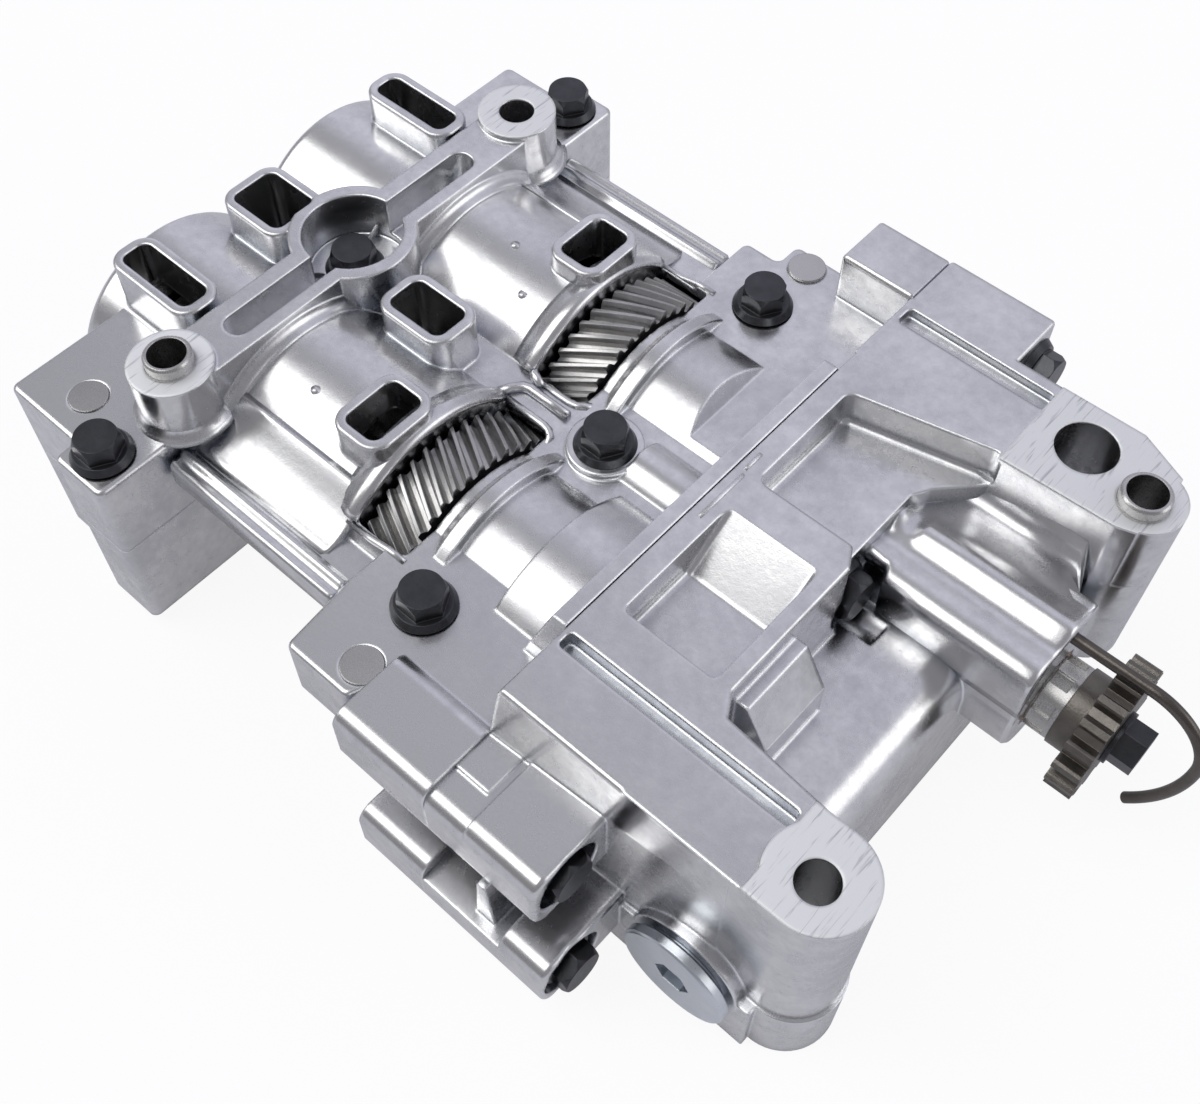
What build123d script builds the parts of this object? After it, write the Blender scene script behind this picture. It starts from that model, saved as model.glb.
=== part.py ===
from build123d import *
import os
from math import atan2, cos, degrees, pi, radians, sin, tan

os.makedirs("parts", exist_ok=True)

# Mounting pads on the plane Z = 0, four holes in a rectangle about the origin
mount_dx = 182.0
mount_dy = 112.5
mount_hole_r = 4.5
pad_r = 10.0
sleeve_wall = 1.1
sleeve_length = 13.0
sleeve_stand = 3.2
sleeve_press = 0.1
sleeve_step = 0.3

# The two balance shafts run along X, side by side, at the split plane
shaft_gap = 57.0
shaft_z = -38.0
journal_r = 11.0
bush_wall = 2.0
bush_clear = 0.04
core_r = 9.0
nose_r = 8.5
rear_weight_r = 23.5
main_weight_r = 26.0
weight_clear = 2.0
weight_drop = 2.5

# Stations of the shaft housing along X
rear_x = -136.0
end_wall = 3.5
rear_row_x = -93.5
mid_row_x = -10.4
bridge_x0 = -97.5
bridge_x1 = -82.7
window_x0 = -37.8
window_x1 = -22.6
flange_x = 12.6
flange_slope = 4.8
joint_x = 21.0
rear_hump_r = 29.5
hump_r = 32.0
barrel_r = 27.0
drum_r = 30.5
drum_x = 1.3
flat_x = 2.5
saddle_r = 9.5
lip_r = 30.0
lip_width = 8.0
valley_z = -16.0
window_half = 23.2

# Helical gears, equal and of opposite hand
gear_teeth = 44
gear_width = 11.8
gear_helix = 22.0
gear_pressure = 20.0
gear_add = 1.12
gear_ded = 1.45
gear_backlash = 0.26
gear_side_gap = 0.6
gear_tip_gap = 0.8
gear_seat_r = 12.5

# Bridge beam across the rear bearing row
bridge_top = -1.5
bridge_end_y = 62.0
pocket_w = 7.2
pocket_z = -12.0
pocket_y0 = -41.0
pocket_y1 = 37.5
bulge_r = 15.6
well_r = 12.4

# Case bolts, standing upright in two rows of three
case_rear_y = 78.0
case_mid_y = 57.5
case_seat_z = -14.2
bolt_r = 3.0
bolt_clear = 0.3
bolt_flange_r = 7.45
bolt_flange_t = 1.8
bolt_af = 10.0
bolt_head_h = 6.2
bolt_boss_r = 9.0
case_bolt_length = 46.0

# Vent slots: centre x, centre y, length in x, width in y, rim height
slot_rim = 2.4
slot_corner = 2.6
slot_round = 0.7
slots = (
    (-113.8, -39.6, 24.2, 8.0, -0.8),
    (-115.2, -5.0, 17.2, 13.2, -2.6),
    (-112.8, 41.8, 24.2, 7.4, -0.8),
    (-62.0, -4.4, 17.2, 10.4, -3.0),
    (-46.0, -33.4, 10.6, 15.6, -0.8),
    (-45.6, 35.4, 10.8, 14.6, -0.8),
)
slot_floor = -31.0

# Rear blocks, mid flanges and side rails of the shaft housing
block_top = -14.8
block_bottom = -67.0
block_y = 86.3
block_step = 6.0
block_step_x = -101.5
block_x0 = -126.0
right_block_x0 = -118.0
block_x1 = -84.6
cast_rim = 1.2
mid_top = -14.8
mid_bottom = -31.5
rail_y = 66.0
rail_top = -19.5
rail_drop = 6.3
rail_x0 = -82.0
rail_x1 = -25.0
dowel_r = 4.7
dowel_stand = 0.7
dowel_length = 12.0

# Pump casting, bolted to the front of the shaft housing
deck_z = -0.6
deck_y0 = -66.5
deck_y1 = 71.5
body_x = 57.0
body_bottom = -70.0
bowl_x = 84.0
bowl_z = -27.0
bowl_round = 11.0
crest_x = 49.3
arm_inner_y = -43.9
arm_base_z = -49.0
arm_base_step = 0.7
arm_draft = 3.4
pillar_x = 64.0
pillar_y0 = -34.5
pillar_y1 = -15.0
pillar_low = -17.5
pillar_high = -7.0
right_arm_y = 45.5
right_arm_bottom = -52.0
left_pad_x = 81.3
right_pad_x = 61.8
groove_w = 4.0
groove_depth = 4.2
pocket_depth = 9.4
pocket_round = 1.6
deck_rim = 1.0
outlet_x = 74.7
outlet_y = 60.4
outlet_r = 7.1
outlet_depth = 34.0
boss_r = 16.0
boss_nose = 5.0
crown_z = -15.2
crown_half = 9.8

# Side lugs and their long bolts along X
upper_lug_y = -89.2
upper_lug_top = -13.0
upper_lug_x0 = -5.0
lug_block_x = 32.0
lug_boss_x = 43.5
upper_lug_x1 = 51.0
lower_lug_y = -93.5
lower_lug_top = -44.0
lower_lug_bottom = -60.8
lower_lug_x0 = 1.5
lower_lug_x1 = 56.0
right_lug_y = 88.0
right_lug_x1 = 50.0
pump_bolts_at = (
    (46.6, -79.3, -22.0),
    (53.0, -84.6, -52.6),
    (50.5, 8.0, -19.5),
    (50.0, 81.0, -10.5),
)
pump_bolt_reach = 16.0

# Rotor set in the pump casting, on the nose of the driven shaft
rotor_lobes = 6
rotor_pin_r = 4.2
rotor_pin_ring = 17.0
rotor_offset = 1.7
rotor_width = 14.0
rotor_clear = 0.08
rotor_mesh_clear = 0.12
rotor_rim = 4.0
key_w = 3.0
cover_t = 4.0
cover_margin = 9.0
cover_screw_r = 2.0
cover_screws = 4

# Pressure relief valve across the left arm, closed by a hexagon socket plug
valve_x = 74.0
valve_z = -50.0
valve_bore_r = 7.0
valve_clear = 0.05
valve_y0 = -26.0
piston_length = 14.0
piston_wall = 1.6
piston_floor = 4.0
piston_seat_gap = 0.2
spring_r = 4.2
spring_wire_r = 0.6
spring_turns = 7
spring_gap = 0.1
plug_seat_y = -69.8
plug_thread_r = 8.2
plug_thread_length = 8.0
plug_flange_r = 13.3
plug_flange_t = 2.8
plug_socket_af = 8.0
plug_socket_depth = 5.0
plug_cup = 3.0
plug_cup_r = 6.2
seal_t = 1.2
seal_r = 10.4

# Sprocket and its hub on the nose of the drive shaft
hub_r = 9.4
hub_length = 6.0
hub_gap = 0.3
splines = 8
sprocket_teeth = 17
sprocket_tip_r = 17.3
sprocket_depth = 3.0
sprocket_collar_r = 9.9
sprocket_collar = 4.8
sprocket_face = 6.7
nose_seat_r = 6.0
bolt_nose_r = 4.0
nose_bolt_head_h = 5.6
nose_washer_r = 6.6
nose_washer_t = 1.2

# Lock pin, a bent wire pushed into the face of the sprocket boss
pin_r = 1.4
pin_clear = 0.15
pin_lift = 19.15
pin_side = 2.2
pin_depth = 12.0
pin_straight_x = 115.0
pin_bend_r = 16.0
pin_tail_r = 45.0
pin_tail_angle = 36.0

shaft_y = shaft_gap / 2
boss_x = mount_dx / 2 + boss_nose
sleeve_r = mount_hole_r + sleeve_wall


def rod_x(radius, x0, x1, y=0.0, z=0.0):
    """Round bar along X."""
    bar = Cylinder(radius, x1 - x0, align=(Align.CENTER, Align.CENTER, Align.MIN))
    return Pos(x0, y, z) * Rot(0, 90, 0) * bar


def rod_y(radius, y0, y1, x=0.0, z=0.0):
    """Round bar along Y."""
    y0, y1 = sorted((y0, y1))
    bar = Cylinder(radius, y1 - y0, align=(Align.CENTER, Align.CENTER, Align.MIN))
    return Pos(x, y0, z) * Rot(-90, 0, 0) * bar


def rod_z(radius, z0, z1, x=0.0, y=0.0):
    """Round bar along Z."""
    bar = Cylinder(radius, z1 - z0, align=(Align.CENTER, Align.CENTER, Align.MIN))
    return Pos(x, y, z0) * bar


def block(x0, x1, y0, y1, z0, z1):
    """Box between two corners."""
    return Pos(x0, y0, z0) * Box(x1 - x0, y1 - y0, z1 - z0, align=(Align.MIN,) * 3)


def plan(points, z0, z1, corner=0.0):
    """Upright prism over an outline in X and Y, its corners rounded."""
    face = make_face(Polyline(*points, close=True))
    if corner > 0:
        face = fillet(face.vertices(), corner)
    return extrude(Pos(0, 0, z0) * face, amount=z1 - z0, dir=(0, 0, 1))


def section_x(points, x0, x1, corner=0.0):
    """Prism along X over an outline in Y and Z, its corners rounded."""
    face = make_face(Polyline(*points, close=True))
    if corner > 0:
        face = fillet(face.vertices(), corner)
    return extrude(Plane.YZ.offset(x0) * face, amount=x1 - x0, dir=(1, 0, 0))


def section_y(points, y0, y1, corner=0.0):
    """Prism along Y over an outline in X and Z, its corners rounded."""
    face = make_face(Polyline(*points, close=True))
    if corner > 0:
        face = fillet(face.vertices(), corner)
    return extrude(Plane.XZ.offset(-y0) * face, amount=y1 - y0, dir=(0, 1, 0))


def soft_plan(points, z0, z1, corner, top):
    """Upright prism with rounded corners and a rounded rim on top."""
    body = plan(points, z0, z1, corner)
    return fillet(body.faces().sort_by(Axis.Z)[-1].edges(), top)


def soft_section_x(points, x0, x1, corner, end):
    """Prism along X with rounded corners and a rounded rim at its front end."""
    body = section_x(points, x0, x1, corner)
    return fillet(body.faces().sort_by(Axis.X)[-1].edges(), end)


def rounded_box(x0, x1, y0, y1, z0, z1, corner):
    """Box with its upright edges rounded."""
    return plan([(x0, y0), (x1, y0), (x1, y1), (x0, y1)], z0, z1, corner)


def hexagon(across_flats, height):
    """Hexagonal prism standing on Z = 0."""
    return extrude(RegularPolygon(across_flats / 2, 6, major_radius=False), amount=height)


def flange_bolt(shank_r, length, flange_r, flange_t, across_flats, head_h):
    """Flange bolt with its seat on Z = 0 and its shank pointing down."""
    seated = (Align.CENTER, Align.CENTER, Align.MIN)
    flange = Cone(flange_r, flange_r - 1.0, flange_t, align=seated)
    head = Pos(0, 0, flange_t) * hexagon(across_flats, head_h - flange_t)
    crown = Cone(across_flats * 0.8, across_flats * 0.5, head_h, align=seated)
    head = (head & crown) + flange
    return head + rod_z(shank_r, -length, 0)


def standard_bolt(length):
    """The flange bolt that every joint of the casing uses."""
    return flange_bolt(bolt_r, length, bolt_flange_r, bolt_flange_t, bolt_af, bolt_head_h)


def gear_section(turn):
    """Transverse section of the helical gear, one tooth centred on the angle turn."""
    pitch_r = shaft_gap / 2
    half_pitch = pi * pitch_r / gear_teeth / 2 - gear_backlash / 2
    slope = tan(radians(gear_pressure))
    tip = (pitch_r + gear_add, half_pitch - gear_add * slope)
    root = (pitch_r - gear_ded, half_pitch + gear_ded * slope)
    points = []
    for tooth in range(gear_teeth):
        middle = radians(turn) + 2 * pi * tooth / gear_teeth
        for (radius, half), side in ((root, -1), (tip, -1), (tip, 1), (root, 1)):
            angle = middle + side * half / radius
            points.append((radius * cos(angle), radius * sin(angle)))
    return make_face(Polyline(*points, close=True))


def helical_gear(side, phase):
    """Helical gear on one shaft, in its own hand."""
    lead = degrees(gear_width * tan(radians(gear_helix)) / shaft_gap)
    x0 = gear_x0
    back = Plane.YZ.offset(x0) * gear_section(phase + side * lead)
    front = Plane.YZ.offset(x0 + gear_width) * gear_section(phase - side * lead)
    body = loft([back, front], ruled=True)
    body = Pos(0, side * shaft_y, shaft_z) * body
    body = body - rod_x(gear_seat_r, x0 - 1, x0 + gear_width + 1, side * shaft_y, shaft_z)
    web = rod_x(21.0, x0 - 1, x0 + 1.4, side * shaft_y, shaft_z)
    web = web - rod_x(16.0, x0 - 2, x0 + 2, side * shaft_y, shaft_z)
    return body - web


gear_x0 = window_x0 + (window_x1 - window_x0 - gear_width) / 2
gear_tip_r = shaft_gap / 2 + gear_add
gear_space_r = gear_tip_r + gear_tip_gap
bush_r = journal_r + bush_clear + bush_wall
rear_space = (rear_x + end_wall, bridge_x0 - 4.0)
main_space = (bridge_x1 + 2.0, window_x0 - 2.0)
rear_bearing = (rear_space[1], main_space[0])
front_bearing = (window_x1 + 3.0, joint_x - 2.0)


def shaft_space(side):
    """Everything that the housings leave open round one shaft."""
    y = side * shaft_y
    room = rod_x(rear_weight_r + weight_clear, rear_space[0], rear_space[1], y, shaft_z)
    room += rod_x(main_weight_r + weight_clear, main_space[0], main_space[1], y, shaft_z)
    room += rod_x(gear_space_r, gear_x0 - gear_side_gap, gear_x0 + gear_width + gear_side_gap, y, shaft_z)
    room += rod_x(bush_r, rear_bearing[0] - 1, rear_bearing[1] + 1, y, shaft_z)
    room += rod_x(bush_r, main_space[1] - 1, joint_x, y, shaft_z)
    return room


def inner_space():
    """Room for both shafts, joined in the middle where the two bays meet."""
    room = shaft_space(1) + shaft_space(-1)
    for x0, x1 in (rear_space, main_space):
        room += block(x0 + 4, x1 - 4, -14, 14, shaft_z - 9, shaft_z + 9)
    return room


def case_bolt_places():
    """Plan positions of the six upright bolts."""
    rear = [(rear_row_x, y) for y in (-case_rear_y, 0.0, case_rear_y)]
    middle = [(mid_row_x, y) for y in (-case_mid_y, 0.0, case_mid_y)]
    return rear + middle


def hump(radius, x0, x1, side, round_end):
    """Round bar over one shaft, with its rear end rounded."""
    bar = rod_x(radius, x0, x1, side * shaft_y, shaft_z)
    if round_end > 0:
        rim = bar.edges().filter_by(GeomType.CIRCLE).sort_by(Axis.X)[0]
        bar = fillet(rim, round_end)
    return bar


def half_space(upper):
    """Large box on one side of the split plane."""
    reach = mount_dx
    z0, z1 = (shaft_z, shaft_z + reach) if upper else (shaft_z - reach, shaft_z)
    return block(-reach, reach, -reach, reach, z0, z1)


def block_outline(side):
    """Plan of one rear block, narrower behind its step."""
    back = block_x0 if side < 0 else right_block_x0
    far = side * block_y
    step = side * (block_y - block_step)
    near = side * (shaft_y + 12)
    return [
        (back, near),
        (back, step),
        (block_step_x, step),
        (block_step_x, far),
        (block_x1, far),
        (block_x1, near),
    ]


def flange_outline(side):
    """Plan of one mid flange with its stepped outer edge."""
    near = side * (shaft_y + 10)
    if side < 0:
        return [
            (-27.5, near),
            (-27.5, -63.8),
            (-25.5, -83.6),
            (-7.0, -83.6),
            (-5.0, -79.0),
            (joint_x, -79.0),
            (joint_x, near),
        ]
    return [
        (-27.0, near),
        (-27.0, 71.8),
        (-16.6, 71.8),
        (-16.6, 79.4),
        (joint_x, 79.4),
        (joint_x, near),
    ]


def rail(side):
    """Longitudinal rib along the flank of the humps."""
    inner = side * (shaft_y + 18)
    outer = side * rail_y
    low = rail_top - rail_drop
    points = [(inner, low), (outer, low), (outer, rail_top), (inner, rail_top)]
    return section_x(points, rail_x0, rail_x1)


def lug_section(y_out, y_in, top, bottom):
    """Outline of a side lug, rounded on its outer side."""
    return [(y_in, bottom), (y_out, bottom), (y_out, top), (y_in, top)]


def slot_frame(x, y, length, width, rim_z):
    """Raised frame round one vent slot."""
    half_x = length / 2 + slot_rim
    half_y = width / 2 + slot_rim
    x0, x1, y0, y1 = x - half_x, x + half_x, y - half_y, y + half_y
    corners = [(x0, y0), (x1, y0), (x1, y1), (x0, y1)]
    return soft_plan(corners, slot_floor, rim_z, slot_corner + slot_rim, slot_round)


def slot_hole(x, y, length, width):
    """Opening of one vent slot down to the shaft room."""
    x0, x1, y0, y1 = x - length / 2, x + length / 2, y - width / 2, y + width / 2
    return rounded_box(x0, x1, y0, y1, slot_floor, 2, slot_corner)


def lip(side):
    """Flared lip of the front bearing barrel behind the gear."""
    x0 = window_x1
    inner_r = gear_tip_r - 5.0
    points = [
        (x0, 6.0),
        (x0, inner_r),
        (x0 + lip_width * 0.6, lip_r),
        (x0 + lip_width, lip_r),
        (x0 + lip_width, 6.0),
    ]
    face = make_face(Polyline(*points, close=True))
    ring = revolve(face, axis=Axis.X)
    return Pos(0, side * shaft_y, shaft_z) * ring


def front_wall():
    """Wall at the joint to the pump casting, sloping down to the barrels."""
    outline = [(-51, shaft_z), (-51, -9), (-47, deck_z), (43, deck_z), (48, -13), (48, shaft_z)]
    slope = [
        (flange_x, shaft_z),
        (flange_x, mid_top),
        (flange_x + flange_slope, deck_z),
        (joint_x, deck_z),
        (joint_x, shaft_z),
    ]
    return section_x(outline, flange_x, joint_x) & section_y(slope, -51, 48)


def front_barrels():
    """Changes to the front barrels: a wider drum, a flat and a saddle between them."""
    left = -shaft_y
    drum = hump(drum_r, drum_x, joint_x, -1, 0)
    drum = drum & block(drum_x, joint_x, left - drum_r, left + drum_r, mid_bottom, 0)
    saddle = rod_x(saddle_r, mid_row_x + bolt_boss_r - 1, joint_x, 2.5, mid_top + 1.8 - saddle_r)
    flat = section_y(
        [
            (flat_x - 4, mid_top + 5),
            (flat_x, mid_top),
            (joint_x, mid_top),
            (joint_x, 1),
            (flat_x - 4, 1),
        ],
        14.0,
        43.5,
    )
    return drum + saddle, flat


def upper_outer():
    """Outside of the upper housing before it is hollowed."""
    body = block(rear_x + 12, joint_x, -shaft_y, shaft_y, shaft_z, valley_z)
    for side in (-1, 1):
        body += hump(rear_hump_r, rear_x, bridge_x0 + 2, side, 3.0)
        body += hump(hump_r, bridge_x1 - 2, window_x1, side, 6.0)
        body += hump(barrel_r, bridge_x0 + 2, joint_x, side, 0)
        body += soft_plan(block_outline(side), shaft_z, block_top, 2.0, cast_rim)
        body += soft_plan(flange_outline(side), mid_bottom, mid_top, 2.0, cast_rim)
        body += rod_z(bolt_boss_r, shaft_z, mid_top, mid_row_x, side * case_mid_y)
        body += rail(side)
    body = body & half_space(True)
    added, flat = front_barrels()
    body = body + added - flat
    body += rounded_box(bridge_x0, bridge_x1, -bridge_end_y, bridge_end_y, shaft_z + 4, bridge_top, 4.0)
    body += rod_z(bulge_r, shaft_z + 4, bridge_top, rear_row_x + 1.5, 0)
    body += rod_z(bolt_boss_r, shaft_z, case_seat_z, mid_row_x, 0)
    body += front_wall()
    for x, y, length, width, rim_z in slots:
        body += slot_frame(x, y, length, width, rim_z)
    for side in (-1, 1):
        body += rod_z(pad_r, block_top - 6, 0, -mount_dx / 2, side * mount_dy / 2)
    lug = lug_section(upper_lug_y, -68.0, upper_lug_top, mid_bottom)
    body += section_x(lug, upper_lug_x0, joint_x, 4.0)
    right = [(0.5, 72.0), (0.5, right_lug_y), (joint_x, right_lug_y), (joint_x, 72.0)]
    body += soft_plan(right, -24.0, deck_z - 0.6, 1.0, cast_rim)
    return body


def gear_windows():
    """Cuts that lay the two gears open from above."""
    cut = None
    for side in (-1, 1):
        y0 = side * shaft_y - window_half
        y1 = side * shaft_y + window_half
        tool = rounded_box(window_x0, window_x1 + 0.05, y0, y1, shaft_z + 6, 5, 1.5)
        cut = tool if cut is None else cut + tool
    return cut


def upper_housing():
    """Upper half of the shaft housing with humps, bridge, slots and gear windows."""
    body = upper_outer() - inner_space() - gear_windows()
    for side in (-1, 1):
        y = side * shaft_y
        window = block(window_x1, joint_x, y - window_half, y + window_half, shaft_z, 0)
        body += (lip(side) & window) - inner_space()
    for x, y, length, width, rim_z in slots:
        body -= slot_hole(x, y, length, width)
    channel_x = rear_row_x + 0.2
    body -= rounded_box(channel_x, channel_x + pocket_w, pocket_y0, pocket_y1, pocket_z, 2, 3.4)
    body -= rod_z(well_r, case_seat_z, 2, rear_row_x + 1.5, 0)
    for x, y in case_bolt_places():
        body -= rod_z(bolt_flange_r + 0.8, case_seat_z, 0, x, y)
        body -= rod_z(bolt_r + bolt_clear, shaft_z - 1, 0, x, y)
    for side in (-1, 1):
        body -= rod_z(mount_hole_r, shaft_z - 1, 1, -mount_dx / 2, side * mount_dy / 2)
    body -= sleeve_seat(-mount_dx / 2, -mount_dy / 2)
    for x, y in dowel_places():
        body -= rod_z(dowel_r, dowel_top(y) - dowel_length, 0, x, y)
    for x, y, z in pump_bolts_at:
        if z > mid_bottom:
            body -= rod_x(bolt_r, joint_x - pump_bolt_reach, joint_x + 1, y, z)
    return body


def dowel_places():
    """Plan positions of the three locating dowels that show."""
    return [(-109.5, -69.8), (-9.8, -76.2), (-9.8, 74.4)]


def dowel_top(y):
    """Height of the dowel ends, proud on the right side and flush on the left."""
    return mid_top + (dowel_stand if y > 0 else 0.25)


def sleeve_seat(x, y):
    """Counterbore that a dowel sleeve is pressed into."""
    return rod_z(sleeve_r + sleeve_press, sleeve_stand - sleeve_length, 5, x, y)


def lower_housing():
    """Lower half of the shaft housing."""
    body = block(rear_x + 12, joint_x, -shaft_y, shaft_y, shaft_z - 14, shaft_z)
    for side in (-1, 1):
        body += hump(rear_hump_r, rear_x, bridge_x0 + 2, side, 3.0)
        body += hump(hump_r, bridge_x0 + 2, window_x1 + 4, side, 0)
        body += hump(barrel_r, window_x1 + 4, joint_x, side, 0)
        body += plan(block_outline(side), block_bottom, shaft_z, 2.0)
        body += rod_z(bolt_boss_r, shaft_z - 22, shaft_z, mid_row_x, side * case_mid_y)
    body += rod_z(bolt_boss_r, shaft_z - 26, shaft_z, rear_row_x, 0)
    body += rod_z(bolt_boss_r, shaft_z - 26, shaft_z, mid_row_x, 0)
    body = body & half_space(False)
    wall = [(-51, shaft_z), (48, shaft_z), (48, -56), (30, -66), (-40, -66), (-51, -56)]
    body += section_x(wall, flange_x - 2, joint_x)
    lug = lug_section(lower_lug_y, -46.0, lower_lug_top, lower_lug_bottom)
    body += section_x(lug, lower_lug_x0, joint_x, 4.0)
    body -= inner_space()
    for x, y in case_bolt_places():
        body -= rod_z(bolt_r, case_seat_z - case_bolt_length, shaft_z + 1, x, y)
    for side in (-1, 1):
        body -= rod_z(mount_hole_r, block_bottom - 1, shaft_z + 1, -mount_dx / 2, side * mount_dy / 2)
    for x, y, z in pump_bolts_at:
        if z < shaft_z:
            body -= rod_x(bolt_r, joint_x - pump_bolt_reach, joint_x + 1, y, z)
    return body


def rotor_chamber_r():
    """Radius of the bore that the outer rotor runs in."""
    return rotor_pin_ring - rotor_pin_r + 2 * rotor_offset + rotor_clear + rotor_rim


chamber_x0 = joint_x + cover_t
chamber_x1 = chamber_x0 + rotor_width + 2 * rotor_clear
rotor_y = -shaft_y
nose_bush_r = nose_r + bush_clear + bush_wall
hub_x0 = boss_x + hub_gap
collar_x0 = hub_x0 + hub_length
teeth_x0 = collar_x0 + sprocket_collar
nose_end_x = teeth_x0 + sprocket_face
cover_r = rotor_chamber_r() + cover_margin
cover_screw_ring = cover_r - 2 * cover_screw_r - 0.4


def deck():
    """Upper part of the pump casting: flat top, both arms and their pads."""
    lug_x = mount_dx / 2
    body = soft_plan(
        [
            (joint_x, deck_y0),
            (lug_x, deck_y0),
            (lug_x, arm_inner_y),
            (body_x + 1, -41.0),
            (body_x - 2, -36.0),
            (body_x - 2, 2.0),
            (crest_x, 12.0),
            (crest_x, 29.0),
            (crest_x + 4, 36.0),
            (crest_x + 13, right_arm_y + 0.2),
            (crest_x + 13, deck_y1),
            (joint_x, deck_y1),
        ],
        bowl_z,
        deck_z,
        0.5,
        deck_rim,
    )
    body += rod_z(pad_r + 1.2, arm_base_z, deck_z, lug_x, -(mount_dy / 2 - 1.1))
    return body


def arm_flank():
    """Drafted side wall of the left arm, fading out at its column."""
    sections = []
    for x, spread in ((joint_x, arm_draft), (mount_dx / 2 - 12, 0.3)):
        outline = [
            (deck_y0 + 3, deck_z - deck_rim),
            (deck_y0, deck_z - deck_rim),
            (deck_y0 - spread, upper_lug_top),
            (deck_y0 - spread, arm_base_z),
            (deck_y0 + 3, arm_base_z),
        ]
        sections.append(Plane.YZ.offset(x) * make_face(Polyline(*outline, close=True)))
    return loft(sections, ruled=True)


def corner_pillar():
    """Sloping pillar in the corner between the left arm and the deck front."""
    outline = [
        (body_x - 6, bowl_z - 1),
        (pillar_x, bowl_z - 1),
        (pillar_x, pillar_low),
        (body_x + 1, pillar_high),
        (body_x - 6, pillar_high),
    ]
    body = section_y(outline, pillar_y0, pillar_y1)
    return fillet(body.edges().filter_by(Axis.Y).sort_by(Axis.X)[-2:].sort_by(Axis.Z)[-1], 1.5)


def left_column():
    """Column under the left front pad, with its wider foot."""
    x = mount_dx / 2
    y = (deck_y0 + arm_inner_y) / 2
    radius = (arm_inner_y - deck_y0) / 2
    column = rounded_box(body_x - 4, x, deck_y0, arm_inner_y, arm_base_z, deck_z, 0.5)
    column += rod_z(radius, arm_base_z, deck_z, x, y)
    wide = arm_inner_y + arm_base_step
    foot = rounded_box(body_x - 4, x, deck_y0 - 3.0, wide, body_bottom, arm_base_z, 0.5)
    foot += rod_z(radius + arm_base_step, body_bottom, arm_base_z, x, y)
    return column + foot


def arm_tip():
    """Outline of the right arm round its front pad."""
    tip_x = mount_dx / 2
    tip_y = mount_dy / 2 + 0.9
    return [
        (tip_x - 8.6, deck_y1 + 0.4),
        (tip_x + 3.4, tip_y + 9.6),
        (tip_x + 3.4, tip_y - 9.0),
        (tip_x - 1.0, right_arm_y + 1.2),
    ]


def right_arm():
    """Arm that carries the oil outlet and the right front pad."""
    tip_x = mount_dx / 2
    tip_y = mount_dy / 2 + 0.9
    outline = [(joint_x, deck_y1 - 22), (joint_x, deck_y1)] + arm_tip() + [(right_pad_x, right_arm_y)]
    arm = plan(outline, right_arm_bottom, deck_z)
    arm += rod_z(pad_r - 0.8, right_arm_bottom, deck_z, tip_x, tip_y)
    arm += rod_z(pad_r, -34.0, -20.5, tip_x - 1, tip_y)
    return arm


def sprocket_boss():
    """Long boss round the drive shaft with its flat crown."""
    y = shaft_y
    boss = rod_x(boss_r, joint_x + 10, boss_x, y, shaft_z)
    crown = section_x(
        [
            (y - boss_r + 0.2, shaft_z),
            (y - boss_r + 1.5, shaft_z + 11),
            (y - crown_half, crown_z),
            (y + crown_half, crown_z),
            (y + boss_r - 0.2, shaft_z + 10),
            (y + boss_r - 0.2, shaft_z),
        ],
        joint_x + 10,
        boss_x,
    )
    body = boss + crown
    rim = body.edges().filter_by(Plane.YZ).sort_by(Axis.X)[-6:]
    return chamfer(rim, 0.8)


def bowl():
    """Rounded front of the pump body, low between the arm and the boss."""
    body = section_y(
        [(joint_x, body_bottom), (bowl_x, body_bottom), (bowl_x, bowl_z), (joint_x, bowl_z)],
        arm_inner_y - 2,
        shaft_y,
    )
    top = body.edges().filter_by(Axis.Y).sort_by(Axis.X)[-2:].sort_by(Axis.Z)[-1]
    return fillet(top, bowl_round)


def pump_pockets():
    """Open pockets in the deck of the pump casting."""
    floor = deck_z - pocket_depth
    above = 1 + groove_depth / pocket_depth
    walls = []
    for low, high in ((-34.4, -36.6), (-16.2, -3.0)):
        walls.append(((low, floor), (low + (high - low) * above, floor + pocket_depth * above)))
    outline = [walls[0][1], walls[0][0], walls[1][0], walls[1][1]]
    left = section_x(outline, joint_x + 6.0, joint_x + 30.0)
    top = left.faces().sort_by(Axis.Z)[-1].edges()
    left = fillet([edge for edge in left.edges() if edge not in top], pocket_round)
    outline = [
        (joint_x + 6.0, 6.6),
        (joint_x + 6.0, 39.0),
        (crest_x + 12.7, 47.6),
        (crest_x + 16.7, 40.0),
        (crest_x + 6.0, 20.0),
        (crest_x + 6.0, 6.6),
    ]
    right = plan(outline, floor, 3, 2.5)
    right = fillet(right.faces().sort_by(Axis.Z)[0].edges(), pocket_round)
    return left + right


def pump_pads():
    """Machined pads that stand a little above the two arms."""
    x = mount_dx / 2
    y = (deck_y0 + arm_inner_y) / 2
    radius = (arm_inner_y - deck_y0) / 2
    left = block(left_pad_x, x, deck_y0, arm_inner_y, deck_z - deck_rim, 0)
    left += rod_z(radius, deck_z - deck_rim, 0, x, y)
    tip_y = mount_dy / 2 + 0.9
    outline = [(right_pad_x, right_arm_y), (right_pad_x, deck_y1)] + arm_tip()
    right = plan(outline, deck_z - deck_rim, 0)
    return left + right + rod_z(pad_r - 0.8, deck_z, 0, x, tip_y)


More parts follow.
